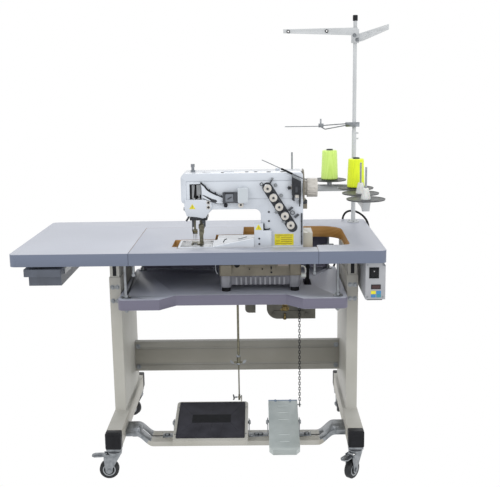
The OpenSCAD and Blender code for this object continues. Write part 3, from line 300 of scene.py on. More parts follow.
def mat_rubber():
    """Moulded treadle mat: charcoal rubber with a leather-like grain, scuffed by shoes."""
    made, tree, shader = new_material("charcoal_mat_rubber", "2C2C32", 0.62, Specular_IOR_Level=0.25)
    if tree:
        where, _, relief = mottle(tree, shader, "36363D", "25252B", 0.045, 0.0012, 0.3, 0.12)
        # The grain's cells are about 2 mm across.
        cells = add_node(tree, "TexVoronoi", {"Vector": where}, Scale=1 / 0.002, feature="DISTANCE_TO_EDGE")
        grain = add_node(
            tree, "Bump", {"Height": cells.outputs["Distance"], "Normal": relief.outputs["Normal"]},
            Strength=0.35, Distance=0.0004,
        )
        tree.links.new(grain.outputs["Normal"], shader.inputs["Normal"])
    return made


def caster_tread():
    """Grey polyurethane caster wheel: matt, and marked by the floor."""
    return finish(
        ("grey_polyurethane", "26272A", 0.55),
        ("303235", "1C1D1F", 0.01, 0.0012, 0.3, 0.12),
        Specular_IOR_Level=0.25,
    )


def box_enamel():
    """Satin white enamel on the folded control box."""
    return finish(("satin_white_enamel", "9FA1A5", 0.4), ("A6A8AC", "989A9F", 0.09, 0.001, 0.14))


def drawer_plastic():
    """Injection-moulded blue-grey polystyrene of the drawer: low sheen with faint flow marks."""
    return finish(("blue_grey_polystyrene", "505661", 0.46), ("575D69", "474C56", 0.05, 0.001, 0.15))


def disc_plastic():
    """Dark grey polypropylene spool disc, slightly waxy."""
    return finish(("grey_polypropylene", "3E4043", 0.48), ("484A4D", "333538", 0.02, 0.0008, 0.15))


def white_nylon():
    """Natural nylon of the spool holders: milky, with a little light inside."""
    return finish(
        ("natural_nylon", "E2E3E0", 0.38), ("E8E9E6", "D3D5D2", 0.015, 0.0006, 0.1), Subsurface_Weight=0.08
    )


def brass():
    """Turned brass of the needle clamp and guides: warm metal, oiled and a little tarnished."""
    return finish(("turned_brass", "6F5F38", 0.3, 1.0), ("7E6E46", "4F4430", 0.006, 0.0005, 0.1, 0.1))


def printed_yellow():
    """Plain yellow label film, semi-gloss and lightly rubbed."""
    return finish(("yellow_label_film", "D8CE1A", 0.34), ("E0D622", "CABF12", 0.01, 0.0008, 0.05))


def printed_colour(name, hexcode):
    """Printed film in one colour, under a clear satin lacquer."""
    return finish((name, hexcode, 0.3), (hexcode, hexcode, 0.01, 0.0008, 0.05), Coat_Weight=0.4)


def wound_thread(name, light, dark):
    """Cross-wound polyester thread: fine yarns that cross in long diamonds, with a silky sheen."""
    made, tree, shader = new_material(name, light, 0.55, Sheen_Weight=0.35, Sheen_Roughness=0.4)
    if tree:
        where = add_node(tree, "TexCoord").outputs["Object"]
        # Yarns lie about 0.4 mm apart; drawn 1.6 mm apart so that the winding shows.
        waves = []
        for lean in (0.22, -0.22):
            turn = add_node(tree, "Mapping", {"Vector": where}, Rotation=(lean, 0.0, 0.0))
            waves.append(
                add_node(
                    tree, "TexWave", {"Vector": turn.outputs["Vector"]}, bands_direction="Z",
                    Scale=0.314 / 0.0016, Distortion=0.8, Detail=1.0, Detail_Scale=3.0,
                ).outputs["Fac"]
            )
        yarn = add_node(tree, "Math", operation="MAXIMUM")
        tree.links.new(waves[0], yarn.inputs[0])
        tree.links.new(waves[1], yarn.inputs[1])
        ramp = add_node(tree, "ValToRGB", {"Fac": yarn.outputs["Value"]})
        ramp.color_ramp.elements[0].position = 0.2
        ramp.color_ramp.elements[1].position = 0.75
        ramp.color_ramp.elements[0].color = linear(dark)
        ramp.color_ramp.elements[1].color = linear(light)
        tree.links.new(ramp.outputs["Color"], shader.inputs["Base Color"])
        relief = add_node(tree, "Bump", {"Height": yarn.outputs["Value"]}, Strength=0.25, Distance=0.0004)
        tree.links.new(relief.outputs["Normal"], shader.inputs["Normal"])
    return made


def laminated_board(name, low, high, rim, top_hex, band_hex, bare_inside):
    """Melamine laminate on plywood: speckled top, plastic edge band, bare plies inside the cut-outs."""
    made, tree, shader = new_material(name, top_hex, 0.42)
    if not tree:
        return made
    where = add_node(tree, "TexCoord").outputs["Object"]
    facing = add_node(tree, "SeparateXYZ", {"Vector": add_node(tree, "NewGeometry").outputs["True Normal"]})
    flat = add_node(tree, "Math", {0: facing.outputs["Z"]}, operation="ABSOLUTE")
    is_flat = add_node(tree, "Math", {0: flat.outputs["Value"]}, operation="GREATER_THAN", n1=0.6)
    # Laminate: speckles of about 1 mm over a slow drift.
    speck = add_node(tree, "TexNoise", {"Vector": where}, Scale=1 / 0.0022, Detail=3.0)
    drift = add_node(tree, "TexNoise", {"Vector": where}, Scale=4.0, Detail=2.0)
    both = add_node(
        tree, "Mix", {2: speck.outputs["Fac"], 3: drift.outputs["Fac"]}, data_type="FLOAT", n0=0.45
    )
    top = add_node(tree, "ValToRGB", {"Fac": both.outputs[0]})
    top.color_ramp.elements[0].position = 0.35
    top.color_ramp.elements[1].position = 0.65
    shade = [c * 0.9 for c in linear(top_hex)[:3]]
    top.color_ramp.elements[0].color = (*shade, 1.0)
    top.color_ramp.elements[1].color = linear(top_hex)
    # Edge band: extruded plastic with faint lengthwise streaks.
    streak_at = add_node(tree, "Mapping", {"Vector": where}, Scale=(8.0, 8.0, 900.0))
    streak = add_node(tree, "TexNoise", {"Vector": streak_at.outputs["Vector"]}, Scale=1.0, Detail=2.0)
    band = add_node(tree, "ValToRGB", {"Fac": streak.outputs["Fac"]})
    band.color_ramp.elements[0].color = (*[c * 0.82 for c in linear(band_hex)[:3]], 1.0)
    band.color_ramp.elements[1].color = linear(band_hex)
    sides = band.outputs["Color"]
    if bare_inside:
        # Plies 2.6 mm thick, alternately light and dark.
        place = add_node(tree, "SeparateXYZ", {"Vector": where})
        wave = add_node(
            tree, "TexWave", {"Vector": where}, bands_direction="Z", Scale=0.314 / 0.0052, Distortion=1.2,
            Detail=2.0, Detail_Scale=30.0,
        )
        plies = add_node(tree, "ValToRGB", {"Fac": wave.outputs["Fac"]})
        plies.color_ramp.elements[0].color = linear("9A6A30")
        plies.color_ramp.elements[1].color = linear("C79A58")
        inside = None
        for axis, edge, kind in (
            ("X", low[0] + rim, "GREATER_THAN"), ("X", high[0] - rim, "LESS_THAN"),
            ("Y", low[1] + rim, "GREATER_THAN"), ("Y", high[1] - rim, "LESS_THAN"),
        ):
            test = add_node(tree, "Math", {0: place.outputs[axis]}, operation=kind, n1=edge)
            if inside is None:
                inside = test
            else:
                inside = add_node(
                    tree, "Math", {0: inside.outputs["Value"], 1: test.outputs["Value"]}, operation="MULTIPLY"
                )
        side_mix = add_node(
            tree, "Mix", {0: inside.outputs["Value"], 6: sides, 7: plies.outputs["Color"]}, data_type="RGBA"
        )
        sides = side_mix.outputs[2]
    mix = add_node(
        tree, "Mix", {0: is_flat.outputs["Value"], 6: sides, 7: top.outputs["Color"]}, data_type="RGBA"
    )
    tree.links.new(mix.outputs[2], shader.inputs["Base Color"])
    relief = add_node(tree, "Bump", {"Height": speck.outputs["Fac"]}, Strength=0.12, Distance=0.0002)
    tree.links.new(relief.outputs["Normal"], shader.inputs["Normal"])
    return made


# ---- Mesh building -----------------------------------------------------------------------


def dress(names, material, edge=0.0, segments=2):
    """Gives CAD nodes their material, and rounds their edges with modifiers."""
    for name in [names] if isinstance(names, str) else names:
        thing = NODES[name]
        thing.data.materials.clear()
        thing.data.materials.append(material)
        if edge:
            weld = thing.modifiers.new("weld", "WELD")
            weld.merge_threshold = 1e-6
            round_off = thing.modifiers.new("rounded_edges", "BEVEL")
            round_off.width = edge
            round_off.segments = segments
            round_off.limit_method = "ANGLE"
            round_off.angle_limit = math.radians(40)
            round_off.harden_normals = True
        smooth_by_angle(thing.data)


def smooth_by_angle(mesh, angle=35):
    """Smooth shading, with sharp edges kept where faces meet steeply."""
    mesh.shade_smooth()
    mesh.set_sharp_from_angle(angle=math.radians(angle))


ACROSS = ((1, 2), (0, 2), (0, 1))  # the two axes across each axis


def stadium(length, width, centre=(0, 0), lean=0.0, steps=12):
    """Outline of a slot or bar with round ends."""
    reach, radius = (length - width) / 2, width / 2
    points = []
    for side in (1, -1):
        for k in range(steps + 1):
            angle = -math.pi / 2 + math.pi * k / steps
            u, v = side * (reach + radius * math.cos(angle)), side * radius * math.sin(angle)
            points.append(
                (
                    centre[0] + u * math.cos(lean) - v * math.sin(lean),
                    centre[1] + u * math.sin(lean) + v * math.cos(lean)
                )
            )
    return points


def rounded(low, high, radius, steps=5):
    """Outline of a rectangle with round corners."""
    points = []
    for index, (u, v) in enumerate(
        ((high[0], high[1]), (low[0], high[1]), (low[0], low[1]), (high[0], low[1]))
    ):
        cu = u - radius if u == high[0] else u + radius
        cv = v - radius if v == high[1] else v + radius
        for k in range(steps + 1):
            angle = math.pi / 2 * (index + k / steps)
            points.append((cu + radius * math.cos(angle), cv + radius * math.sin(angle)))
    return points


def flowing(points, steps=6):
    """A smooth path through the points."""
    places = [Vector(p) for p in points]
    path = []
    for i in range(len(places) - 1):
        a, b = places[max(i - 1, 0)], places[i]
        c, d = places[i + 1], places[min(i + 2, len(places) - 1)]
        for k in range(steps):
            t = k / steps
            path.append(
                0.5 * (
                    2 * b + (c - a) * t + (
                        2 * a - 5 * b + 4 * c - d
                    ) * t * t + (3 * b - a - 3 * c + d) * t ** 3
                )
            )
    return [*path, places[-1]]


def coil(centre, axis, radius, length, turns, steps=14):
    """Points of a helical spring along an axis."""
    first, second = ACROSS[axis]
    path = []
    for k in range(int(turns * steps) + 1):
        angle = 2 * math.pi * k / steps
        point = list(centre)
        point[axis] += length * k / (turns * steps)
        point[first] += radius * math.cos(angle)
        point[second] += radius * math.sin(angle)
        path.append(point)
    return path


class Shape:
    """Solids gathered in one mesh, measured in millimetres from an origin that may be turned."""

    def __init__(self, origin=(0, 0, 0), turn=None):
        self.work = bmesh.new()
        self.place = Matrix.Translation(origin) @ (turn or Matrix.Identity(4))

    def add(self, points, faces):
        made = [self.work.verts.new(self.place @ (Vector(p) * MM)) for p in points]
        for face in faces:
            self.work.faces.new([made[i] for i in face])

    def prism(self, outline, low, high, axis=1, inset=0.0):
        """An outline across an axis, carried from low to high; inset chamfers the high end."""
        count = len(outline)
        levels = [(low, 0.0), (high, 0.0)]
        if inset:
            levels = [(low, 0.0), (high - math.copysign(inset, high - low), 0.0), (high, inset)]
        middle = [sum(p[k] for p in outline) / count for k in (0, 1)]
        span = [max(p[k] for p in outline) - min(p[k] for p in outline) for k in (0, 1)]
        points = []
        for level, shrink in levels:
            for place in outline:
                point = [middle[k] + (place[k] - middle[k]) * (1 - 2 * shrink / span[k]) for k in (0, 1)]
                point.insert(axis, level)
                points.append(point)
        faces = [tuple(range(count)), tuple(range(len(points) - count, len(points)))]
        for row in range(len(levels) - 1):
            for i in range(count):
                j = (i + 1) % count
                faces.append((row * count + i, row * count + j, (row + 1) * count + j, (row + 1) * count + i))
        self.add(points, faces)

    def block(self, low, high, inset=0.0):
        """A cuboid between two corners, chamfered on its front if asked."""
        outline = [(low[0], low[2]), (high[0], low[2]), (high[0], high[2]), (low[0], high[2])]
        self.prism(outline, high[1], low[1], 1, inset)

    def turned(self, profile, centre, axis=1, steps=32, closed=False, scallops=0, depth=0.0):
        """A profile of (along, radius) spun round an axis, with scallops round it if asked."""
        first, second = ACROSS[axis]
        points, rings = [], []
        for along, radius in profile:
            ring = []
            for k in range(steps if radius else 1):
                angle = 2 * math.pi * k / steps
                reach = radius * (
                    1 - depth * (0.5 + 0.5 * math.cos(scallops * angle)) ** 3
                ) if radius > 8 else radius
                point = list(centre)
                point[axis] += along
                point[first] += reach * math.cos(angle)
                point[second] += reach * math.sin(angle)
                ring.append(len(points))
                points.append(point)
            rings.append(ring)
        faces = []
        for a, b in zip(rings, rings[1:] + (rings[:1] if closed else [])):
            for k in range(steps):
                quad = (a[k % len(a)], a[(k + 1) % len(a)], b[(k + 1) % len(b)], b[k % len(b)])
                faces.append(tuple(dict.fromkeys(quad)))
        if not closed:
            faces.extend(tuple(end) for end in (rings[0], rings[-1]) if len(end) > 1)
        self.add(points, faces)

    def bar(self, path, radius, sides=8):
        """A round bar or wire along a path of points."""
        places = [Vector(p) for p in path]
        points, faces = [], []
        normal = None
        for i, place in enumerate(places):
            along = (places[min(i + 1, len(places) - 1)] - places[max(i - 1, 0)]).normalized()
            if normal is None:
                normal = along.orthogonal().normalized()
            normal = (normal - along * normal.dot(along)).normalized()
            other = along.cross(normal)
            for k in range(sides):
                angle = 2 * math.pi * k / sides
                points.append(place + radius * (math.cos(angle) * normal + math.sin(angle) * other))
        last = (len(places) - 1) * sides
        for i in range(0, last, sides):
            faces.extend(
                (i + k, i + (k + 1) % sides, i + sides + (k + 1) % sides, i + sides + k) for k in range(sides)
            )
        self.add(points, [*faces, tuple(range(sides)), tuple(range(last, last + sides))])

    def screw(self, centre, radius, axis=1, out=-1, height=1.8, lean=0.5):
        """A slotted screw head: a disc, and over it two halves with the driver's slot between them."""
        self.turned([(0, radius), (out * height * 0.5, radius)], centre, axis, 20)
        first, second = ACROSS[axis]
        for side in (0, math.pi):
            half = []
            for k in range(11):
                angle = side + 0.16 + (math.pi - 0.32) * k / 10 + lean
                reach = radius * 0.96
                half.append(
                    (centre[first] + reach * math.cos(angle), centre[second] + reach * math.sin(angle))
                )
            level = centre[axis] + out * height * 0.45
            self.prism(half, level, centre[axis] + out * height, axis)

    def bolt(self, centre, radius, axis=1, out=-1, height=4.0, washer=1.5):
        """A hexagon head or nut on a washer."""
        if washer:
            self.turned([(0, radius * washer), (out * 1.2, radius * washer)], centre, axis, 24)
        top = out * (1.2 + height)
        self.turned([(out, radius), (top - out, radius), (top, radius * 0.86)], centre, axis, 6)

    def piece(self, name, material, body="root", edge=0.0, sharp=35):
        """Finishes the mesh as a piece that rides on a CAD body; edge rounds its edges, in millimetres."""
        bmesh.ops.recalc_face_normals(self.work, faces=self.work.faces)
        mesh = bpy.data.meshes.new(name)
        self.work.to_mesh(mesh)
        self.work.free()
        mesh.materials.append(material)
        smooth_by_angle(mesh, sharp)
        made = bpy.data.objects.new(name, mesh)
        link(made)
        if edge:
            round_off = made.modifiers.new("rounded_edges", "BEVEL")
            round_off.width = edge * MM
            round_off.segments = 2
            round_off.limit_method = "ANGLE"
            round_off.angle_limit = math.radians(45)
            round_off.harden_normals = True
        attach(made, body)
        return made


def link(thing):
    """Puts an object in the scene."""
    bpy.context.scene.collection.objects.link(thing)


def paint(node, material, chosen):
    """Gives a second finish to the faces of a CAD node whose middles, in mm from CORNER, are chosen."""
    mesh = NODES[node].data
    mesh.materials.append(material)
    index = len(mesh.materials) - 1
    for face in mesh.polygons:
        if chosen((face.center - CORNER) / MM):
            face.material_index = index


# ---- Pieces of the machine head ----------------------------------------------------------


def build_tensions():
    """Five tension units: post, sprung discs and scalloped nut, on the blackened plate."""
    posts = Shape(MACHINE)
    discs = Shape(MACHINE)
    for i in TENSIONS:
        middle = (joint_at(f"tension_turn_{i}") - MACHINE) / MM
        centre = (middle.x, 0, middle.z)
        posts.turned(
            [(-3, 2.8), (-31, 2.8), (-31, 3.4), (-36.6, 3.4), (-37.6, 2.4), (-37.8, 0)], centre, 1, 24
        )
        for face, way in ((-4, 1), (-12, -1)):
            dish = [(0, 3.2), (-1.2, 8), (-3.6, 12.2), (-4.1, 12.2), (-1.9, 8), (-0.7, 3.2)]
            discs.turned([(face + way * along, radius) for along, radius in dish], centre, 1, 40, closed=True)
        discs.bar(coil((middle.x, -12.6, middle.z), 1, 5.0, -8.4, 4), 0.6, 6)
        knob = Shape(MACHINE)
        nut = [
            (-21.2, 3.8), (-21.2, 10), (-22.4, 12.4), (-24, 13), (-29.6, 13), (-31.2, 12.2), (-31.8, 11),
            (-31.8, 3.8),
        ]
        knob.turned(nut, centre, 1, 120, closed=True, scallops=15, depth=0.07)
        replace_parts(knob.piece(f"tension_nut_{i}", ivory_abs(), f"tension_{i}", 0.0, 30), f"tension_knob_{i}")
    posts.piece("tension_posts", black_oxide())
    discs.piece("tension_discs", polished_steel())
    middle = (joint_at("tension_turn_3") - MACHINE) / MM
    plate = Shape(MACHINE)
    slope = math.radians(-58.5)
    plate.prism(stadium(186, 32.4, (middle.x + 3, middle.z - 5), slope, 16), 0, -3, 1, 0.6)
    # Guide eyes on the plate: a loop and a stalk at its top, two stepped guides on its lower side.
    top = (joint_at("tension_turn_1") - MACHINE) / MM
    for across, up, radius in ((-19, 12, 4.6), (80, -82, 6.4)):
        ring = [
            (
                top.x + across + radius * math.cos(a / 12 * math.pi), -8,
                top.z + up + radius * math.sin(a / 12 * math.pi)
            )
            for a in range(25)
        ]
        plate.bar(ring, 1.3)
        plate.bar([(top.x + across + radius, -8, top.z + up), (top.x + across + radius, -1, top.z + up)], 1.3)
    plate.bar([(top.x + 8, -4, top.z + 14), (top.x + 14, -5, top.z + 25)], 2.6)
    for across, up in ((67, -75), (87, -98)):
        spring = coil((0, 0, 0), 0, 3.6, 17, 7)
        tilt = math.radians(42)
        plate.bar(
            [
                (
                    top.x + across + u * math.cos(tilt) - w * math.sin(tilt), -8 + v,
                    top.z + up + u * math.sin(tilt) + w * math.cos(tilt),
                )
                for u, v, w in spring
            ],
            0.9, 6,
        )
    plate.bar([(top.x + 20, -4, top.z - 12), (top.x + 47, -4, top.z - 56)], 1.6)
    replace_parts(plate.piece("tension_plate", black_oxide()), "thread_guides")
    eyes = Shape(MACHINE)
    for across, up in ((26, 8), (44, -26)):
        eyes.turned(
            [(-1, 5.5), (-7, 5.5), (-8.4, 4.6), (-9, 2.5), (-9, 0)], (top.x + across, 0, top.z + up), 1, 24
        )
    for across, up in ((28, -80), (53, -112)):
        eyes.prism(
            rounded((top.x + across - 3.5, top.z + up - 4.5), (top.x + across + 3.5, top.z + up + 4.5), 1.2),
            -1, -9
        )
        eyes.bar([(top.x + across - 8, -8, top.z + up), (top.x + across + 8, -8, top.z + up)], 1.0)
    eyes.bar([(top.x + 14, -5, top.z + 25), (top.x + 17, -5, top.z + 32)], 3.4, 12)
    eyes.piece("thread_eyes", zinc_plate(), edge=0.4)


def build_take_up():
    """The take-up levers in their window, the white take-up guard and its black thread slot."""
    back = Shape(MACHINE)
    back.prism(rounded((44.2, 147.2), (81.8, 205.8), 2), 13.4, 12.4)
    back.block((45, 3, 150), (50, 12, 203))
    back.block((60, 6, 158), (64, 12, 190))
    back.piece("take_up_recess", black_abs(), edge=0.6)
    levers = Shape(MACHINE)
    levers.prism([(51, 160), (56, 156), (61, 200), (57, 205), (51, 203)], 2, 5, 1, 0.5)
    levers.prism([(66, 168), (80, 172), (80, 203), (66, 203)], 4, 7, 1, 0.5)
    levers.prism([(58, 150), (62, 148), (78, 158), (77, 163), (72, 162)], 1, 4, 1, 0.5)
    for centre, radius in (
        ((58, 2, 158), 4.2), ((74, 4, 168), 3.4), ((74, 4, 198), 3.0), ((56, 2, 200), 2.6)
    ):
        levers.screw(centre, radius)
    levers.piece("take_up_levers", ground_steel(), edge=0.3)
    guard = Shape(MACHINE)
    outline = [
        (81, 210), (88, 203), (98, 190), (112, 180), (134, 170), (152, 162), (157, 152), (152, 143),
        (134, 144), (118, 149), (100, 156), (86, 163), (84, 186),
    ]
    guard.prism(outline, -7.6, -10, 1, 0.5)
    guard.screw((146, -10, 152), 2.8)
    guard.piece("take_up_guard", machine_enamel(), edge=0.3)
    slot = Shape(MACHINE)
    slot.bar(
        flowing([(80, -9, 213), (87, -9, 206), (95, -9, 199), (101, -9, 190), (114, -9, 181), (134, -9, 171)]),
        3.0,
    )
    slot.bar([(134, -9, 171), (154, -9, 162), (157, -9, 152), (152, -9, 143.4)], 2.2)
    # A thin dark bar along the guard's lower edge: a painted shadow line under the guard.
    slot.bar(flowing([(152, -9, 143.4), (134, -9, 144), (118, -9, 149), (100, -9, 156), (86, -9, 163)]), 1.1)
    slot.prism(
        [(85, 172), (90, 172), (118, 159), (130, 156), (133, 151), (128, 147), (116, 149), (108, 157)], -9,
        -10.8
    )
    for place in ((108, -6, 187), (127, -6, 178), (146, -6, 166)):
        slot.turned([(6, 3), (-3, 3), (-4, 2), (-4, 0)], place, 1, 20)
    slot.piece("take_up_slot_and_shadow_line", black_oxide(), edge=0.3)


def build_front_fittings():
    """Lubricator, knobs, plates, screws and plain labels on the front of the arm and column."""
    lubricator = Shape(MACHINE)
    lubricator.prism(rounded((152, 146), (200, 180), 2), 0, -18, 1, 1.2)
    lubricator.prism([(165, 160), (168, 157), (181, 165), (179, 168)], -18, -19.5)
    lubricator.block((151, -20, 145), (158, -17, 181))
    lubricator.block((187, -20, 147), (199, -17, 180))
    lubricator.turned([(0, 6.5), (-9, 6.5), (-11, 5), (-11, 0)], (160, 0, 137), 1, 24)
    lubricator.piece("thread_lubricator", black_oxide(), edge=0.5)
    window = Shape(MACHINE)
    window.prism(rounded((160, 151), (185, 175), 2), -17.6, -18.6)
    window.piece("lubricator_window", printed_colour("smoked_lubricator_window", "6E737B"))
    ring = Shape(MACHINE)
    ring.turned(
        [(-13, 3.4), (-15.6, 3.6), (-16.2, 5), (-16.2, 8), (-15, 9.4), (-13, 9.4)], (209, 0, 139), 1, 36,
        closed=True
    )
    ring.turned([(0, 5.5), (-7, 5.5), (-8, 4.4), (-8, 0)], (372, 0, 192), 1, 24)
    ring.prism(rounded((384, 160), (397, 171), 1.5), -1, -14)
    beige = Shape(MACHINE)
    beige.prism(rounded((199.6, 146.6), (233.4, 195.6), 4.5), -0.5, -26.6, 1, 2)
    beige.piece("side_cover", printed_colour("pale_grey_moulded_cover", "B9C0C6"), edge=0.6)
    black = Shape(MACHINE)
    black.turned([(-12.8, 3.2), (-15.6, 3.2), (-15.6, 0)], (209, 0, 139), 1, 20)
    for x, z in ((104, 146.7), (104, 131.5)):
        black.turned([(-7, 3.6), (-9.2, 3.6), (-9.8, 2.6), (-9.8, 0)], (x, 0, z), 1, 24)
        ring.turned(
            [(-6.5, 3.6), (-8, 3.8), (-8.4, 5), (-7.8, 6.4), (-6.5, 6.4)], (x, 0, z), 1, 28, closed=True
        )
    for x, z in ((299, 113), (299, 83), (267, 28), (267, 10)):
        lift = -1.2 if x > 280 else -13.2
        black.turned([(lift + 1.6, 3.2), (lift - 0.6, 3.2), (lift - 1, 2.6), (lift - 1, 0)], (x, 0, z), 1, 20)
    ring.piece("front_bosses", ivory_abs())
    # Star knob, its points alternating with hollows.
    star = [
        (
            365 + (7.5 if k % 2 else 4.5) * math.cos(math.pi * k / 5),
            192 + (7.5 if k % 2 else 4.5) * math.sin(math.pi * k / 5)
        )
        for k in range(10)
    ]
    black.prism(star, -8, -15, 1, 0.8)
    black.turned([(0, 2.5), (-8, 2.5)], (365, 0, 192), 1, 16)
    # Upright bracket with its slots and feet.
    black.prism(
        [
            (373, 172), (378, 150), (382, 150), (382, 170), (396, 170), (396, 132), (400, 132), (403, 170),
            (403, 219), (373, 233),
        ],
        -14, -17, 1, 0.5,
    )
    black.block((374, -14, 152), (380, 0.5, 160))
    black.block((396, -14, 140), (402, 0.5, 150))
    black.block((384, -19, 178), (392, -16.5, 196))
    # Edge guard down the column's right side.
    black.prism(rounded((403, 4), (408, 108), 1), 0.5, -2.5)
    for k in range(6):
        black.turned([(0, 2.4), (-4, 2.4), (-4, 0)], (405.5, 0, 14 + 17 * k), 1, 16)
    black.turned([(0, 7), (12, 7), (14, 5.5), (14, 0)], (410, 14, 143), 0, 24)
    black.bar(flowing([(283, -4, 76), (283, -4, 62), (285, -4, 57), (292, -4, 56), (303, -4, 59)]), 1.7)
    black.piece("front_black_fittings", black_oxide(), edge=0.3)
    rod = Shape(MACHINE)
    rod.bar([(278, 10, 281), (396, -12, 228)], 1.4)
    rod.bar([(345, -2, 250.5), (410, -13, 221)], 2.2)
    rod.prism([(374, 228), (402, 214), (404, 219), (376, 234)], -17, -19)
    rod.piece("thread_rod", zinc_plate())
    sleeve = Shape(MACHINE)
    sleeve.bar([(340, -1, 252.8), (376, -8, 236.6)], 3.2, 12)
    sleeve.piece("thread_rod_sleeve", black_rubber())
    labels = Shape(MACHINE)
    labels.prism(rounded((317, 3), (379, 40), 1.5), 0.2, -0.5)
    labels.prism([(42, 126.5), (62, 126.5), (52, 143)], -6.8, -7.4)
    labels.prism([(254, 57), (276, 57), (265, 75)], -13, -13.7)
    labels.piece("plain_yellow_labels", printed_yellow())
    bars = Shape(MACHINE)
    for x0, x1, z in (
        (322, 374, 36), (322, 334, 30), (338, 374, 29), (322, 334, 17), (338, 374, 22), (338, 374, 15),
        (322, 374, 8)
    ):
        bars.block((x0, -0.7, z - 1.2), (x1, -0.4, z + 1.2))
    bars.block((51, -7.7, 131), (53, -7.3, 139))
    bars.block((51, -7.7, 128.4), (53, -7.3, 130))
    bars.block((264, -13.9, 60), (266, -13.6, 69))
    bars.piece("label_marks", printed_colour("dark_ochre_print", "A08A12"))


def build_needle_area():
    """Needle clamp with three needles, presser foot, bed plate fittings."""
    needles = Shape(MACHINE)
    needles.turned([(49, 3.5), (180, 3.5), (190, 3.5), (190, 0)], (54, 55, 0), 2, 20)
    needles.prism(rounded((46, 50), (62, 60), 2), 34, 49, 2, 0.8)
    for x in (49, 54, 59):
        needles.turned([(9, 0), (11, 0.35), (20, 0.6), (24, 0.7), (35, 1.0)], (x, 55, 0), 2, 10)
        needles.screw((x, 50, 38), 1.9, height=1.6)
    needles.screw((48, 50, 45), 2.2, height=2.0)
    needles.screw((60, 50, 45), 2.2, height=2.0)
    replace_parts(needles.piece("needle_bar_and_needles", oiled_steel(), "needle_bar"), "needle_bar")
    clamp = Shape(MACHINE)
    clamp.prism(rounded((45.5, 49.4), (62.5, 60.6), 2), 40.5, 42.5, 2)
    clamp.piece("needle_clamp_band", brass(), "needle_bar")
    foot = Shape(MACHINE)
    sole = [
        (43, 37), (46.4, 37), (46.4, 58.5), (61.6, 58.5), (61.6, 37), (80, 37), (82, 40), (82, 77),
        (44, 77), (42, 74), (42, 38),
    ]
    foot.prism(sole, 0.4, 3.4, 2, 0.5)
    foot.prism([(42, 3), (44, 7), (46, 3)], 38, 76, 1)
    foot.prism(rounded((69, 50), (81, 60), 1.5), 3, 30, 2)
    foot.prism([(68, 28), (81, 28), (84, 40), (84, 52), (68, 52)], 50.5, 60, 1, 0.8)
    foot.prism(rounded((66, 48), (86, 62), 3), 52, 66, 2, 1)
    foot.turned([(66, 4.5), (190, 4.5), (190, 0)], (76, 55, 0), 2, 20)
    foot.bar(coil((76, 55, 66), 2, 6.4, 15, 5), 0.9, 6)
    foot.screw((75, 50, 15), 3.4)
    foot.screw((76, 50.5, 44), 4.2, height=3)
    foot.screw((76, 48, 59), 3.2, height=2.4)
    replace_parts(foot.piece("presser_foot_and_bar", oiled_steel(), "presser_bar", 0.3), "presser_bar")
    # Needle guard and thread-spreader arm under the head.
    guard = Shape(MACHINE)
    guard.prism(rounded((40, 84), (98, 96), 3), 20, 92, 1)
    guard.block((46, 34, 60), (52, 42, 92))
    guard.bar(flowing([(49, 38, 64), (46, 40, 50), (48, 46, 40), (53, 47, 36)]), 1.1)
    guard.turned([(0, 6), (10, 6), (11, 5), (11, 0)], (86, 18, 76), 2, 20)
    guard.bar([(88, 30, 90), (88, 30, 62)], 3.4, 12)
    guard.bar(flowing([(48, 14, 110), (42, 9, 105), (36, 7, 94), (30, 6, 85)]), 3.2, 10)
    guard.turned([(35, 3), (52, 3)], (0, 10, 125), 0, 16)
    guard.piece("needle_guard", black_oxide(), edge=0.3)
    release = Shape(MACHINE)
    release.turned([(22, 0), (22, 4.6), (23.4, 6), (35, 6), (36, 5), (36, 0)], (0, 10, 125), 0, 28)
    release.piece("head_release_knob", printed_colour("grey_moulded_knob", "8C8E90"))
    bed = Shape(MACHINE)
    for x, y in ((14, 12), (106, 12), (14, 98), (106, 98)):
        bed.screw((x, y, 0), 3.4, axis=2, out=1, height=0.7)
    for x in (51.5, 56.5):
        for k in range(5):
            bed.prism([(40 + 4 * k, 0), (43.4 + 4 * k, 0), (43.4 + 4 * k, 1.0)], x - 0.8, x + 0.8, 0)
    bed.piece("plate_screws_and_feed_teeth", ground_steel())
    holes = Shape(MACHINE)
    for x, y, radius in ((123, -3, 3.2), (141, -3, 3.6), (176, -8, 2.6), (243, -10, 2.4)):
        holes.turned([(-0.5, radius), (0.35, radius), (0.5, radius * 0.7), (0.3, 0)], (x, y, 0), 2, 20)
    holes.bar(flowing([(148, 34, 7), (150, 34, 12), (154, 34, 17), (160, 34, 19)]), 1.6)
    holes.bar(flowing([(197, 36, 18), (212, 36, 21), (226, 36, 25)]), 1.0)
    holes.piece("bed_plugs", black_oxide())
    cover = Shape(MACHINE)
    cover.prism(rounded((118.6, -14), (249.4, 26), 3), 0.1, 0.7, 2, 0.3)
    cover.screw((165, -14.8, -10), 2.6)
    cover.screw((225, -14.8, -10), 2.6)
    cover.piece("bed_front_cover", machine_enamel())


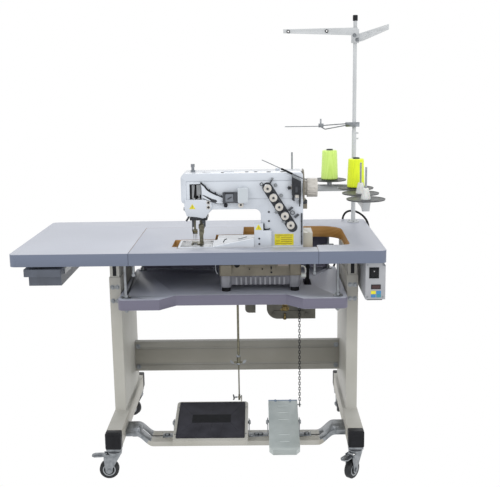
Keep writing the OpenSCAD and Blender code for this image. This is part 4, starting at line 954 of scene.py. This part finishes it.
def build_top_and_wheel():
    """Plugs in the top cover, and the handwheel's hub."""
    plugs = Shape(MACHINE)
    for x, y, radius in ((92, 30, 7), (150, 22, 5), (229, 30, 6), (258, 30, 6), (300, 24, 8), (345, 24, 8)):
        plugs.turned([(-0.4, radius), (0.8, radius), (1.4, radius * 0.8), (1.0, 0)], (x, y, 240), 2, 24)
    plugs.piece("cover_plugs", black_abs())
    shield = Shape(MACHINE)
    shield.prism(rounded((152, 34), (186, 60), 5), 239.6, 242.5, 2, 1)
    shield.prism(rounded((86, 12), (112, 28), 4), 239.6, 241.5, 2, 1)
    shield.turned([(-0.5, 7), (5, 7), (6.4, 5.5), (7, 3), (7, 0)], (330, 78, 240), 2, 24)
    shield.piece("oil_sight_frame", machine_enamel(), edge=0.4)
    hub = Shape(MACHINE)
    wheel = (joint_at("handwheel_turn") - MACHINE) / MM
    centre = (0, wheel.y, wheel.z)
    hub.turned([(452, 21), (456, 20), (458, 16), (458, 10), (455, 9), (455, 0)], centre, 0, 40)
    hub.piece("handwheel_hub", ivory_abs(), "handwheel", 0.4)
    screws = Shape(MACHINE)
    screws.screw((455, wheel.y, wheel.z), 6, axis=0, out=1, height=3)
    screws.screw((416, wheel.y - 24.4, wheel.z), 3, axis=1, out=-1, height=1.5)
    screws.piece("handwheel_screws", black_oxide(), "handwheel")
    bracket = Shape(MACHINE)
    bracket.prism([(408, 120), (424, 120), (424, 142), (420, 146), (408, 146)], 12, 90, 1, 1)
    bracket.piece("wheel_guard_foot", cream_enamel(), edge=1)
    collar = [(410, 27), (414, 27), (415, 29), (415, 60), (413.6, 62), (410, 62)]
    bracket = Shape(MACHINE)
    bracket.turned(collar, centre, 0, 64, closed=True)
    bracket.piece("wheel_collar", cream_enamel())
    seam = Shape(MACHINE)
    seam.prism([(34, 156.6), (273, 156.6), (273, 157), (34, 157)], 0.2, -0.35)
    seam.prism([(233, 156.2), (409, 156.2), (409, 157), (233, 157)], 0.2, -0.35)
    seam.prism([(410 - 0.2, 215), (410 - 0.2, 216), (33, 216), (33, 215)], 0.2, -0.25)
    seam.piece("casting_seams", printed_colour("grey_joint_sealant", "9BA1AA"))


def build_base_fittings():
    """Holes, screws and covers on the front of the lower casting, seen between the table and the shelf."""
    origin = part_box("machine_base")[0]
    dark = Shape(origin)
    dark.turned([(0.5, 9.4), (-5.2, 9.4), (-6, 8.4), (-4.6, 6), (-4.6, 0)], (60, 0, 40), 1, 28)
    for x, z, radius in ((101, 24, 2.4), (144, 24, 2.6), (174, 12, 3.4), (254, 20, 2.8)):
        dark.turned([(0.3, radius), (-0.4, radius), (-0.4, 0)], (x, 0, z), 1, 20)
    dark.prism(rounded((171.5, 22), (176, 33), 1.8), 0.3, -0.5)
    dark.piece("base_openings", black_abs())
    cream = Shape(origin)
    cream.prism(rounded((4, 6), (42, 40), 4), 0.5, -7, 1, 1.5)
    cream.prism(rounded((236, 4), (270, 44), 4), 0.5, -7, 1, 1.5)
    cream.prism(rounded((84, 30), (156, 60), 3), 0.5, -2, 1, 0.8)
    cream.prism(rounded((190, 24), (234, 60), 3), 0.5, -1.6, 1, 0.6)
    cream.piece("base_bosses", cream_enamel(), edge=0.6)
    plate = Shape(origin)
    plate.prism(rounded((196, 34), (230, 44), 1), -1.4, -2.2)
    plate.piece("base_plate", printed_colour("faded_base_plate", "8B7F79"))
    union = Shape(origin)
    union.turned([(274, 8), (289, 8), (291, 6.5), (291, 0)], (0, 30, -6), 0, 24)
    union.bar(flowing([(274, 34, 26), (286, 34, 22), (290, 34, 8), (288, 32, -2)]), 2.6, 10)
    union.piece("oil_union", white_nylon())
    hooks = Shape(origin)
    hooks.bar(flowing([(-8, 20, 88), (-12, 18, 60), (-12, 18, 20), (-6, 18, 4)]), 1.8, 10)
    hooks.piece("left_latch_rod", zinc_plate())


# ---- Pieces of the stand, pedals and casters ---------------------------------------------


def tilted(joint, degrees):
    """A frame at a pedal's pivot, turned with it: X along the pivot, Y to the back, Z out of the tread."""
    low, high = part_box("treadle_mat" if joint == "treadle_tilt" else "lift_pedal")
    at = joint_at(joint)
    return Vector(((low.x + high.x) / 2, at.y, at.z)), Matrix.Rotation(math.radians(degrees), 4, "X")


def build_treadle():
    """The mat's inset panel, border and moulded rays, and the treadle's own screws."""
    place, turn = tilted("treadle_tilt", 12)
    panel = Shape(place, turn)
    panel.prism(rounded((-66, -20), (66, 26), 2), 13.8, 14.5, 2, 0.3)
    panel.piece("treadle_panel", black_rubber(), "treadle")
    rays = Shape(place, turn)
    for start, end in (
        ((-66, -20), (-108, -94)), ((-30, -22), (-52, -96)), ((4, -22), (-8, -98)), ((40, -22), (34, -98)),
        ((66, -20), (106, -94)), ((-66, 26), (-108, 92)), ((66, 26), (106, 92)), ((0, 28), (4, 96)),
    ):
        rays.bar([(*start, 13.7), (*end, 13.7)], 1.0, 6)
    edge = rounded((-112, -100), (112, 98), 5)
    rays.bar([(*p, 14) for p in [*edge, edge[0]]], 1.5, 8)
    rays.piece("treadle_rays", mat_rubber(), "treadle")
    trim = Shape(place, turn)
    for x in (-118.5, 118.5):
        for y in (-80, 74):
            trim.screw((x, y, 11), 2.6, axis=2, out=1, height=1)
    trim.piece("treadle_screws", zinc_plate(), "treadle")


def build_lift_pedal():
    """Pressed ribs and the rolled rear edge of the presser-lift pedal."""
    place, turn = tilted("lift_pedal_tilt", 20)
    place.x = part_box("lift_pedal")[0].x + 0.0505
    ribs = Shape(place, turn)
    for y in (62, 29, -5, -77, -108):
        outline = stadium(38, 5, (0, y), 0, 8)
        ribs.prism(outline, 13.9, 15.3, 2, 1.2)
    ribs.piece("lift_pedal_ribs", hammer_paint(), "lift_pedal", 0.3)
    roll = Shape(place, turn)
    roll.bar([(-50.4, 90, 12), (50.4, 90, 12)], 3.2, 12)
    for x in (-26, 26):
        roll.turned([(0, 5), (2.5, 4.6), (4, 3), (4.2, 0)], (x, 88, 13.6), 2, 20)
    roll.piece("lift_pedal_rolled_edge", printed_colour("blue_grey_stove_paint", "6F7F95"), "lift_pedal")


def build_linkage():
    """Wing screws and joint of the treadle rod."""
    low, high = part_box("pitman_rod")
    clamp = Vector(((low.x + high.x) / 2, low.y + (high.y - low.y) / 2, 0.310))
    wings = Shape(clamp)
    wings.prism([(-16, -2), (-26, 8), (-30, 4), (-22, -6), (-16, -6)], -2, 2, 1, 0.5)
    wings.prism([(14, 2), (24, 9), (29, 5), (21, -5), (14, -4)], -2, 2, 1, 0.5)
    for z in (-9, 19):
        wings.turned([(0, 6.5), (2, 7.8), (5, 7.8), (7, 6.5)], (0, 0, z), 2, 24)
    wings.piece("rod_wing_screws", zinc_plate(), "pitman", 0.4)
    stud = Shape(Vector((clamp.x, clamp.y, 0.179)))
    stud.bolt((6, 0, 0), 6, axis=0, out=1, height=4)
    stud.bar([(-6, 0, 0), (-14, 0, 0)], 3, 12)
    stud.prism([(-14, -3), (-18, 10), (-22, 10), (-20, -4), (-22, -10), (-17, -10)], -2, 2, 1, 0.5)
    stud.piece("treadle_stud_nut", zinc_plate(), "treadle", 0.3)


def build_bar_fittings():
    """Washers and nuts that hold the pedal brackets, and the bolts of the stand."""
    bolts = Shape(CORNER)
    for node in ("treadle_frame", "lift_pedal"):
        low = (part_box(node)[0] - CORNER) / MM
        right = low.x + (101 if node == "lift_pedal" else 249)
        for x, way in ((low.x, -1), (right, 1)):
            bolts.bolt((x + way * 29, 105, 93), 8.5, axis=2, out=1, height=5)
            bolts.bolt((x + way * 5, 105, 138), 6.5, axis=0, out=way, height=3)
    low, high = ((corner - CORNER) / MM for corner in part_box("stand_sides"))
    for x in (low.x + 21, high.x - 21):
        for z in (560, 608):
            bolts.bolt((x - 8, 152, z), 5.5, height=3.5)
            bolts.bolt((x + 8, 152, z), 5.5, height=3.5)
    for x, way in ((low.x + 2, -1), (high.x - 2, 1)):
        for y in (200, 420):
            for z in (575, 615):
                bolts.bolt((x, y, z), 7, axis=0, out=way, height=4.5)
        for y in (210, 410):
            bolts.bolt((x, y, 200), 7, axis=0, out=way, height=4.5)
    for x in (low.x + 44, high.x - 44):
        for z in (236, 316):
            bolts.bolt((x + (8 if x < 600 else -8), 398, z), 6, height=4)
    bolts.piece("stand_bolts", zinc_plate())
    slots = Shape(CORNER)
    for x in (low.x + 21, high.x - 21):
        slots.block((x - 6, 154.3, 646), (x + 6, 155.3, 700))
        slots.block((x - 7, 153.6, 618), (x + 7, 154.4, 638))
    for x in (412, 962):
        slots.prism(stadium(120, 7, (x, 105), 0, 8), 90.1, 90.9, 2)
    slots.piece("stand_slots", black_abs())
    plugs = Shape(CORNER)
    for x in (low.x + 25, high.x - 25):
        for y, way in ((-41, -1), (536, 1)):
            plugs.prism(rounded((x - 17, 118), (x + 17, 156), 4), y, y + way * 1.6, 1, 0.8)
    plugs.piece("foot_cap_faces", black_abs(), edge=0.5)


def build_casters():
    """Wheel hubs, axle nuts and swivel bearing rings."""
    for i in CASTERS:
        roll = JOINTS[f"caster_roll_{i}"]
        swivel = joint_at(f"caster_swivel_{i}")
        centre = Vector(roll["pos_m"])
        axle = Vector(roll["axis"])
        along = axle.cross(UP)
        turn = Matrix((along, axle, UP)).transposed().to_4x4()
        hub = Shape(centre, turn)
        for way in (1, -1):
            hub.turned(
                [(way * 10.4, 21), (way * 11.4, 21), (way * 11.6, 19), (way * 10.8, 17), (way * 10.8, 12)],
                (0, 0, 0), 1, 40,
            )
        hub.piece(f"caster_hub_{i}", printed_colour("grey_moulded_hub", "8F9498"), f"wheel_{i}")
        cap = Shape(centre, turn)
        for way in (1, -1):
            cap.bolt((0, way * 16, 0), 6.5, out=way, height=3, washer=1.3)
        cap.turned([(0, 14.5), (1.2, 14.5), (2.4, 12.5), (2.4, 11)], (-20, 0, 54.6), 2, 32)
        cap.piece(f"caster_axle_nuts_{i}", zinc_plate(), f"fork_{i}")
        ring = Shape(swivel)
        ring.turned([(-2.6, 22.6), (-1.6, 24.2), (1.4, 24.2), (2.6, 22.6)], (0, 0, 0), 2, 40)
        ring.piece(f"caster_race_{i}", black_oxide())


# ---- Pieces of the table, box, drive and thread stand -------------------------------------


def build_box_fittings():
    """Rocker frame, display, keys and strain relief of the control box."""
    box_low, box_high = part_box("control_box")
    origin = Vector((box_low.x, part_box("drawer")[0].y + 0.015, joint_at("switch_rock").z))
    frame_ring = Shape(origin)
    middle = (joint_at("switch_rock").x - origin.x) / MM
    for u0, v0, u1, v1 in (
        (-15.5, -18, 15.5, -14.6), (-15.5, 14.6, 15.5, 18), (-15.5, -14.6, -12.6, 14.6),
        (12.6, -14.6, 15.5, 14.6)
    ):
        frame_ring.block((middle + u0, -1.8, v0), (middle + u1, 0.2, v1), 0.5)
    frame_ring.piece("rocker_frame", black_abs(), edge=0.4)
    legend = Shape(origin)
    legend.turned([(-4.4, 1.6), (-4.9, 1.6), (-4.9, 0)], (middle, 0, 6), 1, 16)
    legend.piece("rocker_dot", printed_colour("white_rocker_print", "C9C9CC"), "power_switch")
    display = Shape(origin)
    display.prism(rounded((18, -54), (49, -38.5), 1), 0.2, -1.0, 1, 0.3)
    display.piece("display_bezel", black_abs())
    glass = Shape(origin)
    glass.prism(rounded((20.5, -52), (46.5, -40.5), 0.8), -0.8, -1.4)
    glass.piece("display_window", printed_colour("dark_red_display_filter", "2A0A0C"))
    digits = Shape(origin)
    for k in range(4):
        for row in (-49.4, -46.3, -43.2):
            digits.block((22.4 + 6 * k, -1.6, row - 0.5), (26.2 + 6 * k, -1.3, row + 0.5))
    digits.piece("display_segments", printed_colour("unlit_red_segments", "4E1614"))
    for k, (colour, name) in enumerate(
        (("D9D21E", "yellow"), ("2F7EB2", "blue"), ("2F76AE", "blue"), ("2F8496", "teal"))
    ):
        across, down = k % 2, k // 2
        x, z = 18 + 17 * across, -70.2 - 11.3 * down
        key = Shape(origin)
        key.prism(rounded((x, z), (x + 15, z + 10.8), 1.2), 0.2, -0.9, 1, 0.4)
        key.piece(f"membrane_key_{k + 1}", printed_colour(f"{name}_key_print_{k + 1}", colour))
    relief = Shape(Vector((box_low.x, box_high.y, box_low.z)))
    relief.turned([(-1, 9), (4, 9), (5, 7.5), (12, 6.5), (22, 5)], (39, 0, 70), 1, 24)
    relief.piece("cable_strain_relief", black_rubber())
    rivets = Shape(origin)
    for x, z in ((6, 26), (56, 26), (6, -80), (56, -80)):
        rivets.screw((x, 0, z), 2.4, height=1)
    rivets.piece("box_screws", zinc_plate())


def build_drive_fittings():
    """Panels, bolts and belt adjuster of the drive unit."""
    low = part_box("motor")[0]
    face = Shape(low)
    face.prism(rounded((22, 10), (132, 30), 4), 0.4, -2, 1, 1)
    face.prism(rounded((22, 36), (54, 68), 4), 0.4, -1.6, 1, 1)
    for x in (14, 128):
        for z in (18, 60):
            face.bolt((x + 8, 0, z), 5, height=3)
    for k in range(5):
        face.block((72 + 10 * k, -3, 44), (76 + 10 * k, 0.4, 70))
    face.piece("motor_panels", motor_paint(), edge=0.8)
    bolt = Shape(low)
    bolt.bolt((62, 0, 38), 10, height=6)
    bolt.turned([(2, 4), (20, 4)], (62, -4, 0), 2, 16)
    bolt.turned([(0, 5.5), (4, 5.5), (5, 4)], (62, -4, -1), 2, 6)
    bolt.piece("motor_adjuster", brass())


def build_table_fittings():
    """Pole flange screws, insert pulls and the shelf's fasteners."""
    screws = Shape(CORNER)
    for k in range(3):
        angle = 2 * math.pi * k / 3 + 0.5
        x, y = (
            POLE.x - CORNER.x
        ) / MM + 16 * math.cos(angle), (POLE.y - CORNER.y) / MM + 16 * math.sin(angle)
        screws.screw((x, y, 760), 3.2, axis=2, out=1, height=1.4)
    screws.piece("pole_flange_screws", zinc_plate())


def disc_places():
    """Middles and top heights of the spool discs: two on the left arm, then three on the right one."""
    pole = (POLE - CORNER) / MM
    top = DISC_TOP / MM
    fall = (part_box("cone_left")[0].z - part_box("cone_right")[0].z) / MM
    return [(pole.x - along, pole.y, top) for along in (90, 230)] + [
        (pole.x - 9, pole.y - along, top - fall) for along in (150, 290, 430)
    ]


def build_thread_stand():
    """Spindles, spool holders, thread eyes and disc ribs of the thread stand."""
    pole = (POLE - CORNER) / MM
    places = disc_places()
    ribs = Shape(CORNER)
    for x, y, top in places:
        ribs.turned(
            [(0.2, 62.2), (1.4, 63), (1.6, 61.8), (0.4, 59.4), (0.4, 58), (-2.2, 58), (-2.2, 61)],
            (x, y, top), 2, 64, closed=True,
        )
        for radius in (26, 44):
            ribs.turned(
                [(-0.2, radius + 0.9), (0.5, radius), (-0.2, radius - 0.9)], (x, y, top), 2, 56, closed=True
            )
    ribs.piece("disc_rims", disc_plastic())
    holders = Shape(CORNER)
    for x, y, top in places[1:2] + places[3:]:
        for k in range(6):
            angle = math.pi * k / 3
            u, v = math.cos(angle), math.sin(angle)
            fin = [
                (x + reach * u - side * v, y + reach * v + side * u, top + up)
                for reach, up in ((14.6, 0), (17, 0), (7.6, 36), (9, 35)) for side in (1, -1)
            ]
            holders.add(fin, [(0, 1, 3, 2), (4, 5, 7, 6), (0, 1, 5, 4), (2, 3, 7, 6), (0, 2, 6, 4), (1, 3, 7, 5)])
    holders.piece("spool_holder_fins", white_nylon())
    caps = Shape(CORNER)
    caps.turned([(-18.6, 9), (0, 9), (1.6, 7.6), (2, 0)], (pole.x, pole.y, 1509.4), 2, 28)
    caps.piece("pole_cap", black_abs())
    eyes = Shape(CORNER)
    holes = Shape(CORNER)
    for x in (pole.x - 104, pole.x - 242):
        holes.turned(
            [(-15, 3), (-15.6, 4), (-15, 5.6), (-12, 6), (-12, 3)], (x, pole.y, 1456), 1, 28, closed=True
        )
    holes.piece("thread_arm_grommets", black_abs())
    eyes.bolt((pole.x - 4, pole.y - 13, 1440), 4.5, height=3)
    eyes.bolt((pole.x + 6, pole.y - 13, 1424), 4.5, height=3)
    eyes.piece("thread_arm_eyes", zinc_plate())
    bolts = Shape(CORNER)
    for x in (pole.x - 7, pole.x + 7):
        bolts.bolt((x, pole.y - 12, places[2][2] - 18), 4.5, height=4)
    bolts.piece("rack_bolts", zinc_plate())


def build_cones():
    """Two wound cones of thread on grey moulded cores."""
    for side, name, light, dark in (
        ("left", "light_green_thread", "E0FF8C", "BFE85C"), (
            "right", "yellow_green_thread", "EFFF20", "C8DC10"
        ),
    ):
        node = f"cone_{side}"
        low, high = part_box(node)
        origin = Vector(((low.x + high.x) / 2, (low.y + high.y) / 2, low.z))
        height = (high.z - low.z) / MM
        reach = (high.x - low.x) / 2 / MM
        wound = Shape(origin)
        profile = [(4, 12), (2.5, reach - 5), (3, reach - 2), (6, reach - 0.4)]
        steps = 34
        for k in range(1, steps):
            share = k / steps
            profile.append(
                (6 + (height - 14) * share, (reach - 0.4) * (1 - 0.125 * share) - (0.35 if k % 2 else 0))
            )
        profile += [
            (height - 7, reach * 0.86), (height - 5, reach * 0.82), (height - 4.4, reach * 0.76),
            (height - 4.6, 12)
        ]
        wound.turned(profile, (0, 0, 0), 2, 56, closed=True)
        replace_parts(wound.piece(f"thread_{side}", wound_thread(name, light, dark), node, sharp=60), node)
        core = Shape(origin)
        core.turned(
            [
                (0, 19), (0, 30), (2.6, 30), (2.6, 19), (height - 4, 12.2), (height, 12.2), (height, 10.8),
                (height - 2, 10.6), (4, 17)
            ],
            (0, 0, 0), 2, 40, closed=True,
        )
        core.piece(f"thread_core_{side}", printed_colour("charcoal_moulded_core", "2C3433"), node)


# ---- Operators ---------------------------------------------------------------------------


def add_floor():
    """A wide white floor that meets the white world. It glows, and keeps no shadow."""
    look = bpy.context.scene.sewing_stage
    work = bmesh.new()
    bmesh.ops.create_grid(work, x_segments=1, y_segments=1, size=look.floor_size / 2)
    mesh = bpy.data.meshes.new("floor")
    work.to_mesh(mesh)
    work.free()
    floor = bpy.data.objects.new("floor", mesh)
    link(floor)
    white = linear("FFFFFF")
    made, _, _ = new_material(
        "white_floor", "000000", 1.0, Specular_IOR_Level=0.0, Emission_Color=white, Emission_Strength=1.0
    )
    mesh.materials.append(made)


def add_lights():
    """A white world and three large soft lamps."""
    look = bpy.context.scene.sewing_stage
    world = bpy.data.worlds.new("studio")
    world.use_nodes = True
    world.node_tree.nodes["Background"].inputs["Color"].default_value = linear("FFFFFF")
    world.node_tree.nodes["Background"].inputs["Strength"].default_value = look.world_strength
    bpy.context.scene.world = world
    aim = Vector((0, 0, 0.8))
    for name, place, power, size in (
        ("key", (-1.6, -2.4, 3.2), look.key_power, 1.4),
        ("fill", (2.6, -2.2, 1.8), look.fill_power, 2.0),
        ("rim", (0.4, 2.6, 2.8), look.rim_power, 1.8),
    ):
        lamp = bpy.data.lights.new(name, "AREA")
        lamp.energy = power
        lamp.size = size
        holder = bpy.data.objects.new(name, lamp)
        holder.location = place
        holder.rotation_euler = (aim - Vector(place)).to_track_quat("-Z", "Y").to_euler()
        link(holder)


def add_camera():
    """The camera, with the small turn and roll of one held by hand."""
    look = bpy.context.scene.sewing_stage
    camera = bpy.data.cameras.new("camera")
    camera.sensor_width = 36
    camera.sensor_fit = "HORIZONTAL"
    camera.lens = look.camera_lens
    holder = bpy.data.objects.new("camera", camera)
    heading = Matrix.Rotation(-look.camera_heading, 3, "Z")
    pitch = Matrix.Rotation(math.pi / 2 + look.camera_pitch, 3, "X")
    turn = heading @ pitch @ Matrix.Rotation(look.camera_roll, 3, "Z")
    holder.matrix_world = Matrix.Translation(look.camera_place) @ turn.to_4x4()
    link(holder)
    bpy.context.scene.camera = holder
    bpy.context.scene.view_settings.view_transform = "Standard"


def dress_table():
    """Laminated boards of the table, its insert and the shelf, and the shelf's steel."""
    look = bpy.context.scene.sewing_table
    low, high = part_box("table_top")
    board = laminated_board(
        "laminated_table_board", low, high, 0.03, look.top_colour, look.band_colour, True
    )
    dress("table_top", board, look.edge_round)
    dress("table_insert", board, 0.0008)
    low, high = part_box("sunk_shelf")
    shelf = laminated_board(
        "laminated_shelf_board", low, high, 0.03, look.shelf_colour, look.shelf_band_colour, False
    )
    dress("sunk_shelf", shelf, look.edge_round)
    dress("shelf_hardware", zinc_plate(), 0.0006)


def dress_frame():
    """Finishes of every other CAD node."""
    dress(["stand_sides", "pedal_bar"], powder_coat(), 0.001)
    # The crossbar takes a darker copy of the stand's powder coat: painted shade, for the table's shadow on it.
    dress("stand_crossbar", powder_coat("shaded_grey_powder_coat", "8F8E88", "7E7D76"), 0.001)
    dress("treadle_frame", powder_coat(), 0.002)
    dress("foot_caps", black_abs(), 0.004, 3)
    dress([f"caster_fork_{i}" for i in CASTERS] + ["caster_plates", "drawer_rails"], zinc_plate(), 0.0006)
    dress(["brake_lever_1", "brake_lever_2"], zinc_plate(), 0.001)
    dress([f"caster_wheel_{i}" for i in CASTERS], caster_tread(), 0.0015)
    dress(["motor", "speed_control"], motor_paint(), 0.004, 3)
    dress("control_box", box_enamel(), 0.0015)
    dress("machine_base", cream_enamel(), 0.002)
    dress("oil_pan", silver_casting(), 0.0015)
    dress(["machine_feet", "drive_belt", "motor_cable"], black_rubber(), 0.0)
    dress(["machine_bed", "arm_casting", "arm_covers", "looper_cover"], machine_enamel(), 0.0015)
    dress("needle_plate", ground_steel(), 0.0003)
    dress(["thread_guides", "lift_lever", "speed_lever"], black_oxide(), 0.0)
    dress("lift_chain", black_abs(), 0.0)
    dress(["thread_pole", "spool_rack", "guide_arms"], pale_tube_coat(), 0.0005)
    dress("spool_discs", disc_plastic(), 0.0)
    # Second finishes, chosen by height or place: nylon holders and steel spindles on the rack, the wires of
    # the rod guide, the brackets on the pedal bar, the box's black ends, and painted shade: a beige tint on the
    # white casting right of the column.
    places = disc_places()

    def on_spindle(point, reach):
        return any(math.hypot(point.x - x, point.y - y) < reach and point.z > top for x, y, top in places)

    paint("spool_rack", white_nylon(), lambda p: on_spindle(p, 16))
    paint("spool_rack", zinc_plate(), lambda p: on_spindle(p, 4.5))
    paint("guide_arms", zinc_plate(), lambda p: p.z < 1350)
    paint("pedal_bar", zinc_plate(), lambda p: p.z > 91.5)
    paint("control_box", black_abs(), lambda p: p.z < 590 or p.z > 712)
    # Painted shade: the white casting right of the column is tinted beige where it stands in shade.
    paint("machine_bed", printed_colour("painted_shade_beige_enamel", "B0AC9E"), lambda p: p.x > 940)
    dress("treadle_mat", mat_rubber(), 0.001)
    dress("pitman_rod", oiled_steel(), 0.0)
    dress(
        ["lower_pulley", "motor_pulley", "needle_bar", "presser_bar", "pressure_screw"], polished_steel(), 0.0
    )
    dress("lift_pedal", hammer_paint(), 0.001)
    dress("handwheel", ivory_abs(), 0.001)
    dress([f"tension_knob_{i}" for i in TENSIONS], ivory_abs(), 0.001)
    dress("power_switch", black_abs(), 0.0006)
    dress("drawer", drawer_plastic(), 0.001)
    dress("cone_left", wound_thread("light_green_thread", "E0FF8C", "BFE85C"), 0.0)
    dress("cone_right", wound_thread("yellow_green_thread", "EFFF20", "C8DC10"), 0.0)


def operator(name, label, text, *steps):
    """An operator class that runs the steps in order."""

    def execute(self, context):
        for step in steps:
            step()
        return {"FINISHED"}

    parts = {"__doc__": text, "bl_idname": f"sewing.{name}", "bl_label": label, "execute": execute}
    return type(f"SEWING_OT_{name}", (bpy.types.Operator,), parts)


# ---- Settings ----------------------------------------------------------------------------


class SewingStage(bpy.types.PropertyGroup):
    floor_size: FloatProperty(
        name="Floor size", description="Width of the floor", default=60.0, unit="LENGTH"
    )
    world_strength: FloatProperty(name="World", description="Brightness of the white world", default=1.0)
    key_power: FloatProperty(name="Key", description="Power of the key lamp", default=24.0, unit="POWER")
    fill_power: FloatProperty(name="Fill", description="Power of the fill lamp", default=10.0, unit="POWER")
    rim_power: FloatProperty(name="Rim", description="Power of the back lamp", default=12.0, unit="POWER")
    camera_lens: FloatProperty(name="Lens", description="Focal length in millimetres", default=59.5)
    camera_heading: FloatProperty(
        name="Heading", description="Turn of the camera to the right", default=math.radians(-0.698),
        subtype="ANGLE",
    )
    camera_pitch: FloatProperty(
        name="Pitch", description="Tilt of the camera, up is positive", default=math.radians(-11.377),
        subtype="ANGLE",
    )
    camera_roll: FloatProperty(
        name="Roll", description="Roll of the camera, anticlockwise is positive",
        default=math.radians(-0.809), subtype="ANGLE",
    )
    camera_place: FloatVectorProperty(
        name="Place", description="Where the camera stands", default=(0.1988, -2.8098, 1.2968),
        subtype="TRANSLATION",
    )


class SewingTable(bpy.types.PropertyGroup):
    top_colour: StringProperty(name="Top", description="Laminate colour, sRGB hex", default="B4B8C3")
    band_colour: StringProperty(name="Band", description="Edge band colour, sRGB hex", default="6C7589")
    shelf_colour: StringProperty(
        name="Shelf", description="Shelf laminate colour, sRGB hex", default="BCC0CC"
    )
    shelf_band_colour: StringProperty(
        name="Shelf band", description="Shelf edge colour, sRGB hex", default="6E6C7E"
    )
    edge_round: FloatProperty(
        name="Edge round", description="Radius of the board's edges", default=0.005, unit="LENGTH"
    )


SETTINGS = {"sewing_stage": SewingStage, "sewing_table": SewingTable}
OPERATORS = (
    operator(
        "stage", "Stage", "Adds the pale floor, the studio light and the camera", add_floor, add_lights,
        add_camera
    ),
    operator("table", "Table", "Dresses the table top, its insert and the sunk shelf", dress_table),
    operator("dress_all", "Finishes", "Gives every other CAD node its finish", dress_frame),
    operator("tensions", "Tensions", "Builds the five tension units and their plate", build_tensions),
    operator("take_up", "Take-up", "Builds the take-up levers and guard", build_take_up),
    operator(
        "front", "Front fittings", "Builds what is fixed to the arm's and column's front",
        build_front_fittings
    ),
    operator("needles", "Needles", "Builds the needles, presser foot and bed fittings", build_needle_area),
    operator(
        "top", "Top and wheel", "Builds the plugs of the top cover and the handwheel's hub",
        build_top_and_wheel
    ),
    operator("base", "Base fittings", "Builds the fittings of the lower casting", build_base_fittings),
    operator(
        "pedals", "Pedals", "Builds the details of both pedals and the treadle rod", build_treadle,
        build_lift_pedal, build_linkage
    ),
    operator("stand", "Stand fittings", "Builds the bolts, slots and caps of the stand", build_bar_fittings),
    operator("casters", "Casters", "Builds the hubs, nuts and races of the casters", build_casters),
    operator("box", "Control box", "Builds the rocker frame, display and keys", build_box_fittings),
    operator("drive", "Drive", "Builds the drive unit's panels, bolts and adjuster", build_drive_fittings),
    operator("fixings", "Table fixings", "Builds the screws of the table", build_table_fittings),
    operator(
        "thread_stand", "Thread stand", "Builds the rims, holders and eyes of the thread stand",
        build_thread_stand
    ),
    operator("cones", "Cones", "Builds the two wound cones of thread", build_cones),
)


class SEWING_PT_panel(bpy.types.Panel):
    """Lists what builds the machine"""

    bl_label = "Cover-stitch machine"
    bl_idname = "SEWING_PT_panel"
    bl_space_type = "VIEW_3D"
    bl_region_type = "UI"
    bl_category = "Sewing"

    def draw(self, context):
        for operator in OPERATORS:
            self.layout.operator(operator.bl_idname)
        for name, group in SETTINGS.items():
            box = self.layout.box()
            for key in group.__annotations__:
                box.prop(getattr(context.scene, name), key)


def register():
    """Registers the settings, operators and panel."""
    for name, group in SETTINGS.items():
        bpy.utils.register_class(group)
        setattr(bpy.types.Scene, name, PointerProperty(type=group))
    for operator in (*OPERATORS, SEWING_PT_panel):
        bpy.utils.register_class(operator)


def unregister():
    """Removes what register added."""
    for operator in (SEWING_PT_panel, *reversed(OPERATORS)):
        bpy.utils.unregister_class(operator)
    for name, group in SETTINGS.items():
        delattr(bpy.types.Scene, name)
        bpy.utils.unregister_class(group)


def main():
    """Registers the add-on, runs its operators in order and writes the two boxes."""
    register()
    for operator in OPERATORS:
        group, name = operator.bl_idname.split(".")
        getattr(getattr(bpy.ops, group), name)()


if __name__ == "__main__":
    main()
